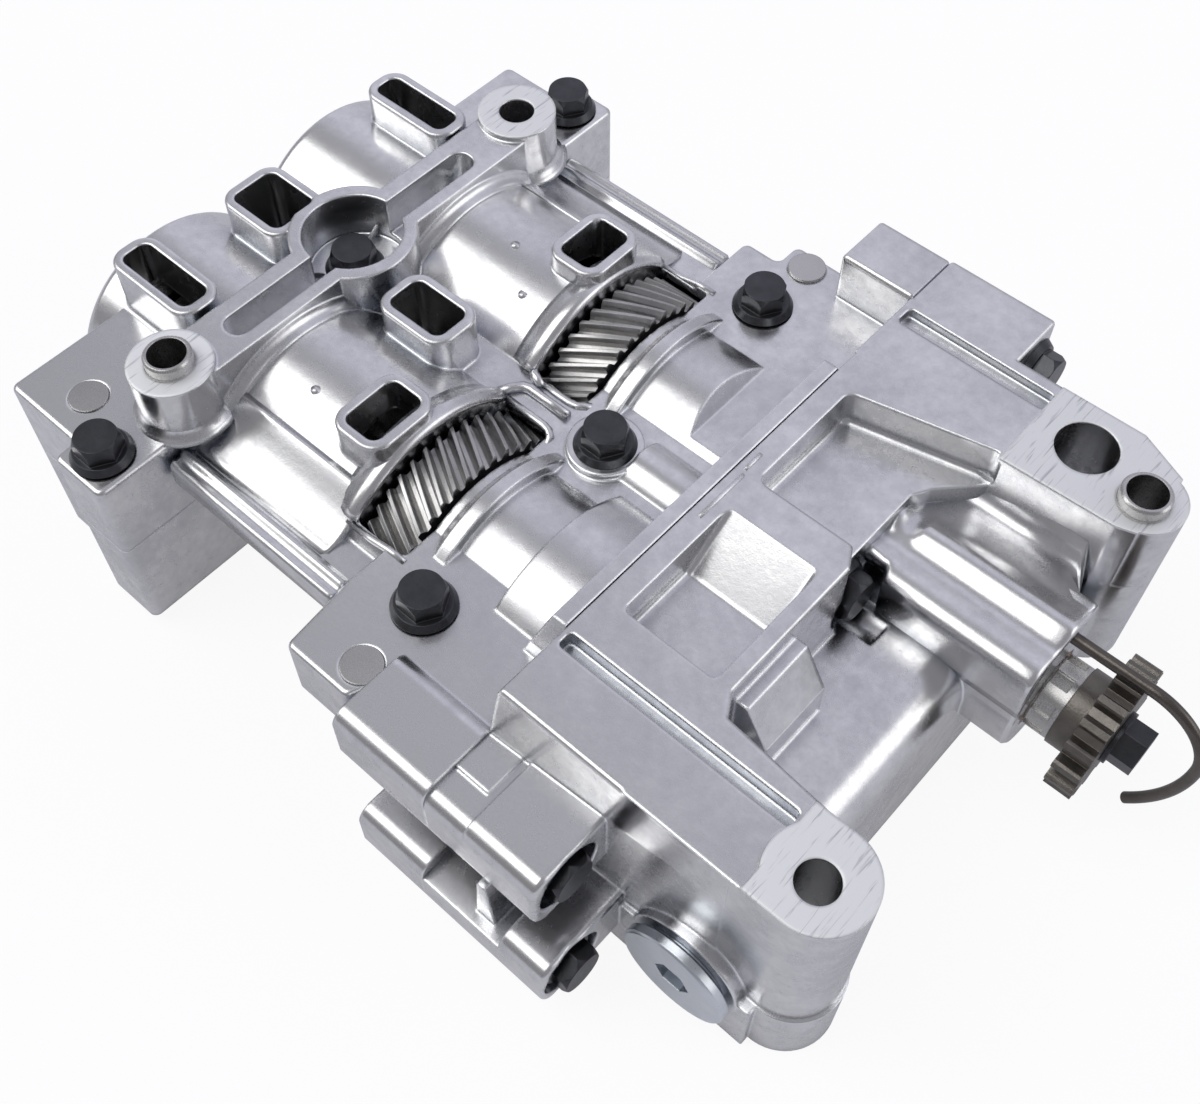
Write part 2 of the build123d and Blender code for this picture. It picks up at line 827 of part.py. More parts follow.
def pump_grooves():
    """Channels beside the two arms."""
    x0 = joint_x + 1.6
    left = rounded_box(x0, left_pad_x - 0.7, -51.3, -51.3 + groove_w, deck_z - groove_depth, 3, 1.2)
    right = rounded_box(x0, right_pad_x, 63.4, 68.6, deck_z - groove_depth * 0.6, 3, 1.2)
    return left + right


def upper_lug():
    """Upper side lug with the thicker boss of its bolt and a small square pad."""
    low = lug_section(upper_lug_y, -62.0, upper_lug_top - 1.4, mid_bottom)
    high = lug_section(upper_lug_y, -62.0, upper_lug_top, mid_bottom)
    lug = section_x(low, joint_x, lug_block_x + 4, 4.0)
    lug += soft_section_x(high, lug_block_x, upper_lug_x1, 4.0, cast_rim)
    return lug + block(joint_x, joint_x + 9, -79.6, deck_y0, mid_bottom, upper_lug_top - 0.8)


def lower_lug():
    """Lower side lug: a thick bolt boss at its end, a low beam and a web behind it."""
    x, y, z = pump_bolts_at[1]
    outline = lug_section(lower_lug_y, -60.0, lower_lug_top, lower_lug_bottom)
    lug = soft_section_x(outline, joint_x, lower_lug_x1, 4.0, cast_rim)
    lug -= block(joint_x - 1, lug_boss_x, lower_lug_y - 1, -71.5, z + bolt_r + 1.4, lower_lug_top + 1)
    top = mid_bottom + 1
    foot = lug_boss_x - 9.5
    web = section_y([(foot, z), (foot + 6, z), (foot + 4, top), (foot + 2, top)], lower_lug_y + 3, -62)
    return lug + web


def pump_housing():
    """Front casting with the pump room, both front pads and the sprocket boss."""
    body = deck() + arm_flank() + left_column() + right_arm() + bowl() + corner_pillar()
    room = [
        (-66.0, -58),
        (-52, body_bottom),
        (40, body_bottom),
        (60, -52),
        (60, deck_z - 8),
        (-66.0, deck_z - 8),
    ]
    body += section_x(room, joint_x, body_x - 6)
    body += sprocket_boss() + upper_lug() + lower_lug()
    y0, y1 = deck_y1 - 6, right_lug_y
    right = [(joint_x, y0), (right_lug_x1, y0), (right_lug_x1, y1), (joint_x, y1)]
    body += soft_plan(right, -24.0, deck_z, 1.0, cast_rim)
    body -= pump_pockets()
    body -= pump_grooves()
    body += pump_pads()
    for side in (-1, 1):
        body -= rod_z(mount_hole_r, body_bottom - 1, 1, mount_dx / 2, side * mount_dy / 2)
    body -= sleeve_seat(mount_dx / 2, mount_dy / 2)
    body -= rod_z(outlet_r, -outlet_depth, 1, outlet_x, outlet_y)
    body -= rod_x(cover_r, joint_x - 1, chamber_x0, rotor_y, shaft_z)
    body -= rod_x(rotor_chamber_r(), chamber_x0 - 0.1, chamber_x1, rotor_y, shaft_z - rotor_offset)
    body -= rod_x(nose_r + 0.5, chamber_x1 - 1, chamber_x1 + 6, rotor_y, shaft_z)
    body -= rod_x(bush_r, joint_x - 1, boss_x - 20, shaft_y, shaft_z)
    body -= rod_x(nose_bush_r, boss_x - 21, boss_x + 1, shaft_y, shaft_z)
    for x, y, z in pump_bolts_at:
        body -= rod_x(bolt_r + bolt_clear, joint_x - 1, x + 1, y, z)
        body -= rod_x(bolt_flange_r + 0.8, x, x + 2 * bolt_head_h, y, z)
    body -= rod_y(valve_bore_r, valve_y0, plug_seat_y - 1, valve_x, valve_z)
    body -= rod_y(plug_thread_r, plug_seat_y - 1, plug_seat_y + plug_thread_length + 2, valve_x, valve_z)
    body -= cover_screw_holes()
    seat = rod_y(plug_flange_r + 0.6, plug_seat_y, plug_seat_y + 4, valve_x, valve_z)
    body += seat - rod_y(plug_thread_r, plug_seat_y - 1, plug_seat_y + 5, valve_x, valve_z)
    body -= rod_x(pin_r + pin_clear, boss_x - pin_depth, boss_x + 1, shaft_y + pin_side, shaft_z + pin_lift)
    return body


def cover_screw_places():
    """Positions of the cover screws in Y and Z."""
    places = []
    for number in range(cover_screws):
        angle = radians(45 + 360 / cover_screws * number)
        places.append((rotor_y + cover_screw_ring * cos(angle), shaft_z + cover_screw_ring * sin(angle)))
    return places


def cover_screw_holes():
    """Threaded holes for the cover screws."""
    holes = [rod_x(cover_screw_r, joint_x, chamber_x0 + 9, y, z) for y, z in cover_screw_places()]
    return Part() + holes


def pump_cover():
    """Round plate that closes the rotor room against the shaft housing."""
    plate = rod_x(cover_r - 0.05, joint_x + 0.1, chamber_x0, rotor_y, shaft_z)
    plate -= rod_x(nose_r + 0.3, joint_x, chamber_x0 + 1, rotor_y, shaft_z)
    for y, z in cover_screw_places():
        plate -= rod_x(cover_screw_r + 0.2, joint_x, chamber_x0 + 1, y, z)
        plate -= rod_x(cover_screw_r * 2 + 0.2, joint_x, joint_x + 2.3, y, z)
    return plate


def cover_screw_set():
    """Screws of the pump cover, heads sunk in the plate."""
    screws = []
    for y, z in cover_screw_places():
        screw = rod_x(cover_screw_r * 2, joint_x + 0.3, joint_x + 2.3, y, z)
        screws.append(screw + rod_x(cover_screw_r, joint_x + 2.3, chamber_x0 + 8, y, z))
    return Compound(screws)


def balance_weight(radius, x0, x1, side):
    """Half-round counterweight that hangs below the shaft axis."""
    y = side * shaft_y
    bar = rod_x(radius, x0, x1, y, shaft_z)
    return bar & block(x0, x1, y - radius, y + radius, shaft_z - radius, shaft_z - weight_drop)


def balance_shaft(side):
    """One balance shaft with its two counterweights, journals and gear seat."""
    y = side * shaft_y
    gap = 1.5
    shaft = rod_x(core_r, rear_space[0] + gap, joint_x - 0.5, y, shaft_z)
    shaft += rod_x(journal_r, rear_bearing[0], rear_bearing[1], y, shaft_z)
    shaft += rod_x(journal_r, front_bearing[0], front_bearing[1], y, shaft_z)
    shaft += rod_x(gear_seat_r, gear_x0, gear_x0 + gear_width, y, shaft_z)
    shaft += balance_weight(rear_weight_r, rear_space[0] + gap, rear_space[1] - gap, side)
    shaft += balance_weight(main_weight_r, main_space[0] + gap, main_space[1] - gap, side)
    return shaft


def drive_shaft():
    """Balance shaft of the right side, with the long nose for the sprocket."""
    shaft = balance_shaft(1) + rod_x(nose_r, joint_x - 1, hub_x0, shaft_y, shaft_z)
    shaft += rod_x(nose_seat_r, hub_x0, nose_end_x - 1.0, shaft_y, shaft_z)
    return shaft - rod_x(bolt_nose_r, nose_end_x - 24, nose_end_x, shaft_y, shaft_z)


def key_slot(radius, x0, x1):
    """Space of the rotor key on top of the nose of the driven shaft."""
    half = key_w / 2
    top = shaft_z + radius
    return block(x0, x1, rotor_y - half, rotor_y + half, top - key_w / 2, top + key_w / 2)


def driven_shaft():
    """Balance shaft of the left side, with the short nose for the pump rotor."""
    shaft = balance_shaft(-1) + rod_x(nose_r, joint_x - 1, chamber_x1 + 5, rotor_y, shaft_z)
    return shaft - key_slot(nose_r, chamber_x0 + 1.5, chamber_x1 - 1.5)


def rotor_key():
    """Key between the driven shaft and the inner rotor."""
    return key_slot(nose_r, chamber_x0 + 1.5, chamber_x1 - 1.5)


def rotor_outline(count):
    """Points of the inner rotor, the inner envelope of the outer rotor's lobes."""
    pins = rotor_lobes + 1
    radius = rotor_pin_r + rotor_mesh_clear
    ratio = rotor_pin_ring / (rotor_offset * pins)
    points = []
    for number in range(count):
        t = 2 * pi * number / count
        lean = atan2(sin((1 - pins) * t), ratio - cos((1 - pins) * t))
        up = rotor_pin_ring * cos(t) - radius * cos(t + lean) - rotor_offset * cos(pins * t)
        across = radius * sin(t + lean) - rotor_pin_ring * sin(t) + rotor_offset * sin(pins * t)
        points.append((rotor_y + across, shaft_z + up))
    return points


def inner_rotor():
    """Six-lobed rotor keyed to the driven shaft."""
    curve = Spline(*rotor_outline(rotor_lobes * 20), periodic=True)
    face = make_face(curve)
    body = extrude(Plane.YZ.offset(chamber_x0 + rotor_clear) * face, amount=rotor_width, dir=(1, 0, 0))
    body -= rod_x(nose_r, chamber_x0 - 1, chamber_x1 + 1, rotor_y, shaft_z)
    return body - key_slot(nose_r, chamber_x0 - 1, chamber_x1 + 1)


def outer_rotor():
    """Ring with seven inner lobes, turning about an axis below the shaft."""
    x0 = chamber_x0 + rotor_clear
    x1 = x0 + rotor_width
    z = shaft_z - rotor_offset
    outer_r = rotor_chamber_r() - rotor_clear
    hole_r = rotor_pin_ring - rotor_pin_r + 2 * rotor_offset + rotor_clear
    ring = rod_x(outer_r, x0, x1, rotor_y, z) - rod_x(hole_r, x0 - 1, x1 + 1, rotor_y, z)
    for number in range(rotor_lobes + 1):
        angle = 2 * pi * number / (rotor_lobes + 1)
        lobe_y = rotor_y + rotor_pin_ring * sin(angle)
        lobe_z = z + rotor_pin_ring * cos(angle)
        ring += rod_x(rotor_pin_r, x0, x1, lobe_y, lobe_z)
    return ring & rod_x(outer_r, x0, x1, rotor_y, z)


def shaft_bushes():
    """Plain bushes of both shafts, two to a shaft."""
    rings = []
    for side in (-1, 1):
        y = side * shaft_y
        for x0, x1 in (rear_bearing, front_bearing):
            ring = rod_x(bush_r, x0 + 1, x1 - 1, y, shaft_z)
            rings.append(ring - rod_x(journal_r + bush_clear, x0, x1, y, shaft_z))
    return Compound(rings)


def nose_bush():
    """Plain bush that carries the drive shaft inside the sprocket boss."""
    ring = rod_x(nose_bush_r, boss_x - 20, boss_x - 0.5, shaft_y, shaft_z)
    return ring - rod_x(nose_r + bush_clear, boss_x - 21, boss_x, shaft_y, shaft_z)


def drive_hub():
    """Slotted hub between the boss and the sprocket."""
    hub = rod_x(hub_r, hub_x0, collar_x0, shaft_y, shaft_z)
    hub -= rod_x(nose_seat_r, hub_x0 - 1, collar_x0 + 1, shaft_y, shaft_z)
    slot = block(hub_x0 - 1, collar_x0 - 1.4, hub_r - 0.9, hub_r + 1, -1.7, 1.7)
    for number in range(splines):
        hub -= Pos(0, shaft_y, shaft_z) * Rot(360 / splines * number + 12, 0, 0) * slot
    return hub


def sprocket():
    """Chain sprocket with its collar."""
    y = shaft_y
    root_r = sprocket_tip_r - sprocket_depth
    points = []
    half_tooth = [(root_r, 6.4), (sprocket_tip_r - 0.7, 4.2), (sprocket_tip_r, 2.6)]
    tooth_shape = [(radius, -offset) for radius, offset in half_tooth] + half_tooth[::-1]
    for tooth in range(sprocket_teeth):
        middle = 360 / sprocket_teeth * tooth
        for radius, offset in tooth_shape:
            angle = radians(middle + offset)
            points.append((radius * cos(angle), radius * sin(angle)))
    teeth = section_x(points, teeth_x0, nose_end_x)
    body = Pos(0, y, shaft_z) * teeth + rod_x(sprocket_collar_r, collar_x0, teeth_x0, y, shaft_z)
    body -= rod_x(nose_seat_r, collar_x0 - 1, nose_end_x + 1, y, shaft_z)
    return body


def sprocket_bolt():
    """Hexagon bolt with a washer face that holds the sprocket."""
    bolt = rod_z(nose_washer_r, 0, nose_washer_t) + rod_z(bolt_nose_r, -22, 0)
    bolt += Pos(0, 0, nose_washer_t) * hexagon(bolt_af, nose_bolt_head_h)
    return Pos(nose_end_x, shaft_y, shaft_z) * Rot(0, 90, 0) * Rot(0, 0, 15) * bolt


def lock_pin():
    """Bent wire: a straight shank in the boss and a hook in front of the sprocket."""
    y = shaft_y + pin_side
    z = shaft_z + pin_lift
    start = (boss_x - pin_depth + 0.3, y, z)
    turn = (pin_straight_x, y, z)
    side = (pin_straight_x + pin_bend_r, y, z - pin_bend_r)
    lean = radians(pin_tail_angle)
    end = (side[0] - pin_tail_r * (1 - cos(lean)), y, side[2] - pin_tail_r * sin(lean))
    shank = Line(start, turn)
    bend = TangentArc(turn, side, tangent=(1, 0, 0))
    tail = TangentArc(side, end, tangent=(0, 0, -1))
    wire = Wire([shank, bend, tail])
    return sweep(Plane(origin=start, z_dir=(1, 0, 0)) * Circle(pin_r), path=wire)


def relief_piston():
    """Hollow piston of the relief valve, open towards its spring."""
    y1 = valve_y0 - piston_seat_gap
    y0 = y1 - piston_length
    body = rod_y(valve_bore_r - valve_clear, y0, y1, valve_x, valve_z)
    return body - rod_y(valve_bore_r - piston_wall, y0 - 1, y1 - piston_floor, valve_x, valve_z)


def relief_spring():
    """Coil spring between the piston and the plug."""
    y1 = valve_y0 - piston_seat_gap - piston_floor - spring_wire_r - spring_gap
    y0 = plug_seat_y + plug_thread_length - plug_cup + spring_wire_r + spring_gap
    path = Helix(pitch=(y1 - y0) / spring_turns, height=y1 - y0, radius=spring_r)
    start = Plane(origin=path @ 0, z_dir=path % 0)
    coil = sweep(start * Circle(spring_wire_r), path=path)
    return Pos(valve_x, y0, valve_z) * Rot(-90, 0, 0) * coil


def relief_plug():
    """Flanged screw plug with a hexagon socket."""
    plug = rod_z(plug_flange_r, 0, plug_flange_t)
    plug = chamfer(plug.edges().filter_by(GeomType.CIRCLE), 0.5)
    plug += rod_z(plug_thread_r, -seal_t - plug_thread_length, 0)
    plug -= Pos(0, 0, plug_flange_t - plug_socket_depth) * hexagon(plug_socket_af, plug_socket_depth + 1)
    end = -seal_t - plug_thread_length
    plug -= rod_z(plug_cup_r, end - 1, end + plug_cup)
    return Pos(valve_x, plug_seat_y - seal_t, valve_z) * Rot(90, 0, 0) * plug


def plug_seal():
    """Flat seal ring under the plug."""
    ring = rod_y(seal_r, plug_seat_y - seal_t, plug_seat_y, valve_x, valve_z)
    return ring - rod_y(plug_thread_r, plug_seat_y - 5, plug_seat_y + 5, valve_x, valve_z)


def dowel_sleeves():
    """Sleeves that centre the module on the engine block, a little wider where pressed in."""
    sleeves = []
    bottom = sleeve_stand - sleeve_length
    for x, y in ((-mount_dx / 2, -mount_dy / 2), (mount_dx / 2, mount_dy / 2)):
        outer = rod_z(sleeve_r, sleeve_step, sleeve_stand, x, y)
        outer = chamfer(outer.edges().filter_by(GeomType.CIRCLE).sort_by(Axis.Z)[-1], 0.5)
        outer += rod_z(sleeve_r + sleeve_press, bottom, sleeve_step, x, y)
        sleeves.append(outer - rod_z(mount_hole_r, bottom - 1, sleeve_stand + 1, x, y))
    return Compound(sleeves)


def casting_dowels():
    """Round locating dowels between the housing halves, ends in view."""
    pins = []
    for x, y in dowel_places():
        pins.append(rod_z(dowel_r, dowel_top(y) - dowel_length, dowel_top(y), x, y))
    return Compound(pins)


def case_bolt_set():
    """Six upright flange bolts of the shaft housing."""
    bolt = standard_bolt(case_bolt_length)
    return Compound([Pos(x, y, case_seat_z) * bolt for x, y in case_bolt_places()])


def pump_bolt_set():
    """Flange bolts along X that hold the pump casting to the shaft housing."""
    bolts = []
    for x, y, z in pump_bolts_at:
        bolt = standard_bolt(x - joint_x + pump_bolt_reach - 2)
        bolts.append(Pos(x, y, z) * Rot(0, 90, 0) * bolt)
    return Compound(bolts)


def save(name, shape):
    """Write one named piece."""
    export_step(shape, f"parts/{name}.step")


def main():
    """Write every piece of the module."""
    save("upper_housing", upper_housing())
    save("lower_housing", lower_housing())
    save("pump_housing", pump_housing())
    save("pump_cover", pump_cover())
    save("cover_screws", cover_screw_set())
    save("case_bolts", case_bolt_set())
    save("pump_bolts", pump_bolt_set())
    save("dowel_sleeves", dowel_sleeves())
    save("casting_dowels", casting_dowels())
    save("shaft_bushes", shaft_bushes())
    save("nose_bush", nose_bush())
    save("drive_shaft", drive_shaft())
    save("driven_shaft", driven_shaft())
    save("drive_gear", helical_gear(1, 180))
    save("driven_gear", helical_gear(-1, 180 / gear_teeth))
    save("drive_hub", drive_hub())
    save("sprocket", sprocket())
    save("sprocket_bolt", sprocket_bolt())
    save("lock_pin", lock_pin())
    save("rotor_key", rotor_key())
    save("inner_rotor", inner_rotor())
    save("outer_rotor", outer_rotor())
    save("relief_piston", relief_piston())
    save("relief_spring", relief_spring())
    save("relief_plug", relief_plug())
    save("plug_seal", plug_seal())


if __name__ == "__main__":
    main()
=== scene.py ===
import logging
from dataclasses import dataclass, field
from enum import Enum
from math import cos, pi, radians, sin, tan

import bmesh
import bpy
from mathutils import Matrix, Vector


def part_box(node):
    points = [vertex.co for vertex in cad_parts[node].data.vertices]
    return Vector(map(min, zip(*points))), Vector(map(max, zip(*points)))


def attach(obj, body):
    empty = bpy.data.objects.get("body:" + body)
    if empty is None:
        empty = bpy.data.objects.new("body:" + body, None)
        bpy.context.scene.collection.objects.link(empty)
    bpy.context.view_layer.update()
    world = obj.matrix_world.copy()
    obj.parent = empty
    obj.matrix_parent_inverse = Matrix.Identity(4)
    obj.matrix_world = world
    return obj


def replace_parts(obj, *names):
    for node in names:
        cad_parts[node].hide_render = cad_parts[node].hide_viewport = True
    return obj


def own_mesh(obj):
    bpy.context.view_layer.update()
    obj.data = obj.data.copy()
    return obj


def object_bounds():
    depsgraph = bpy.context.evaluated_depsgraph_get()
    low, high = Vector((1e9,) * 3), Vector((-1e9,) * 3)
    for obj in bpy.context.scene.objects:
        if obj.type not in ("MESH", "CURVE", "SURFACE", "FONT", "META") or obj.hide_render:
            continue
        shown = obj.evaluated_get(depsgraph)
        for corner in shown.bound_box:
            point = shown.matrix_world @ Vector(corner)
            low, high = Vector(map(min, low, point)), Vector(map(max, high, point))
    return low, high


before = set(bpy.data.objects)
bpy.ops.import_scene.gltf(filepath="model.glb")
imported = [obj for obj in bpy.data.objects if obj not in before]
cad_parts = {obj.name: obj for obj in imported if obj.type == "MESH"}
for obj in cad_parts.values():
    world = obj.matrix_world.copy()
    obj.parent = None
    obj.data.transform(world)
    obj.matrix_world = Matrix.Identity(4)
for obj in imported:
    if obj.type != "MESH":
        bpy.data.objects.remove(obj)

logging.basicConfig(level=logging.INFO, format="%(name)s: %(message)s")
log = logging.getLogger("module")
CAD_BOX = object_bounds()
MM = 0.001
Outline = list[tuple[float, float]]
Tree = bpy.types.NodeTree
Socket = bpy.types.NodeSocket


class Coat(Enum):
    """Finishes that the pieces of the module wear."""

    CASTING = "casting"
    BLACK_BOLT = "black_bolt"
    STEEL = "steel"
    GEAR_STEEL = "gear_steel"
    SINTERED = "sintered"
    ZINC = "zinc"
    BRONZE = "bronze"
    WIRE = "wire"


def linear(hex_colour: str) -> tuple[float, float, float, float]:
    """Turn an sRGB hex colour into linear light.

    Args:
        hex_colour: Six hex digits, with or without a leading mark.

    Returns:
        Red, green, blue and alpha, each from 0 to 1.
    """
    digits = hex_colour.lstrip("#")
    values = []
    for start in (0, 2, 4):
        part = int(digits[start:start + 2], 16) / 255
        values.append(part / 12.92 if part <= 0.04045 else ((part + 0.055) / 1.055) ** 2.4)
    return values[0], values[1], values[2], 1.0


def add_node(tree: Tree, kind: str, inputs: dict | None = None, **settings: object) -> bpy.types.Node:
    """Add one shader node with its settings, values and links.

    Args:
        tree: Node tree that gets the node.
        kind: Blender's name for the node's type.
        inputs: Input name or number, to a plain value or to an output socket.
        settings: Attributes of the node itself.

    Returns:
        The new node.
    """
    node = tree.nodes.new(kind)
    for name, value in settings.items():
        setattr(node, name, value)
    for name, value in (inputs or {}).items():
        if isinstance(value, Socket):
            tree.links.new(value, node.inputs[name])
        else:
            node.inputs[name].default_value = value
    return node


def add_piece(
    name: str, body: bmesh.types.BMesh, made: bpy.types.Material, rides: str,
    smooth: bool = True,
) -> bpy.types.Object:
    """Turn a closed mesh into a piece that rides on a body.

    Args:
        name: Name of the piece.
        body: Closed mesh in metres, freed here.
        made: Material of the piece.
        rides: Body that carries the piece.
        smooth: Whether its faces shade smoothly.

    Returns:
        The new object.
    """
    bmesh.ops.recalc_face_normals(body, faces=body.faces[:])
    mesh = bpy.data.meshes.new(name)
    body.to_mesh(mesh)
    body.free()
    mesh.polygons.foreach_set("use_smooth", [smooth] * len(mesh.polygons))
    mesh.materials.append(made)
    thing = bpy.data.objects.new(name, mesh)
    bpy.context.collection.objects.link(thing)
    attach(thing, rides)
    log.info("%s added, %d faces", name, len(mesh.polygons))
    return thing


def tube(points: list[tuple[float, float, float]], radius: float) -> bmesh.types.BMesh:
    """Sweep a circle along a line.

    Args:
        points: Places along the line, in millimetres.
        radius: Radius of the tube in millimetres.

    Returns:
        A closed mesh in metres.
    """
    curve = bpy.data.curves.new("line", "CURVE")
    curve.dimensions = "3D"
    curve.bevel_depth = radius * MM
    curve.bevel_resolution = 3
    curve.use_fill_caps = True
    spline = curve.splines.new("POLY")
    spline.points.add(len(points) - 1)
    for knot, place in zip(spline.points, points):
        knot.co = (*(Vector(place) * MM), 1.0)
    holder = bpy.data.objects.new("line", curve)
    body = bmesh.new()
    body.from_mesh(bpy.data.meshes.new_from_object(holder))
    bpy.data.objects.remove(holder)
    bmesh.ops.remove_doubles(body, verts=body.verts[:], dist=1e-6)
    return body


@dataclass(frozen=True)
class Finish:
    """A metal surface with a base colour, gloss and fine relief."""

    name: str
    colour: str
    shade: str
    roughness: float
    spread: float
    grain_mm: float
    relief: float
    metallic: float = 1.0
    edge_mm: float = 0.35
    patch_mm: float = 18.0
    bump_mm: float = 0.1

    def start(self) -> tuple[bpy.types.Material, Tree, bpy.types.Node]:
        """Make an empty material with its shader.

        Returns:
            The material, its node tree and its principled shader.
        """
        material = bpy.data.materials.new(self.name)
        material.use_nodes = True
        tree = material.node_tree
        return material, tree, tree.nodes["Principled BSDF"]

    def finish(
        self, tree: Tree, shader: bpy.types.Node, colour: Socket, rough: Socket, normal: Socket,
    ) -> None:
        """Join the patterns to the shader.

        Args:
            tree: Node tree of the material.
            shader: Principled shader of the material.
            colour: Base colour.
            rough: Roughness.
            normal: Normals with the relief.
        """
        tree.links.new(colour, shader.inputs["Base Color"])
        tree.links.new(rough, shader.inputs["Roughness"])
        tree.links.new(normal, shader.inputs["Normal"])
        shader.inputs["Metallic"].default_value = self.metallic

    def material(self) -> bpy.types.Material:
        """Build the material.

        Returns:
            A material with patches of shade, uneven gloss and a fine grain.
        """
        material, tree, shader = self.start()
        where = add_node(tree, "ShaderNodeTexCoord").outputs["Object"]
        patch = add_node(tree, "ShaderNodeTexNoise", {
            "Vector": where, "Scale": 1 / (self.patch_mm * MM), "Detail": 5.0,
        })
        # The real grain is finer than the render can show, so it is drawn coarser
        grain = add_node(tree, "ShaderNodeTexNoise", {
            "Vector": where, "Scale": 1 / (self.grain_mm * MM), "Detail": 3.0,
        })
        tone = add_node(tree, "ShaderNodeMix", {
            0: patch.outputs["Fac"], 6: linear(self.shade), 7: linear(self.colour),
        }, data_type="RGBA")
        gloss = add_node(tree, "ShaderNodeMapRange", {
            "Value": grain.outputs["Fac"],
            "To Min": self.roughness - self.spread, "To Max": self.roughness + self.spread,
        })
        edge = add_node(tree, "ShaderNodeBevel", {"Radius": self.edge_mm * MM}, samples=6)
        bump = add_node(tree, "ShaderNodeBump", {
            "Height": grain.outputs["Fac"], "Strength": self.relief,
            "Distance": self.bump_mm * MM, "Normal": edge.outputs["Normal"],
        })
        self.finish(tree, shader, tone.outputs[2], gloss.outputs["Result"], bump.outputs["Normal"])
        return material


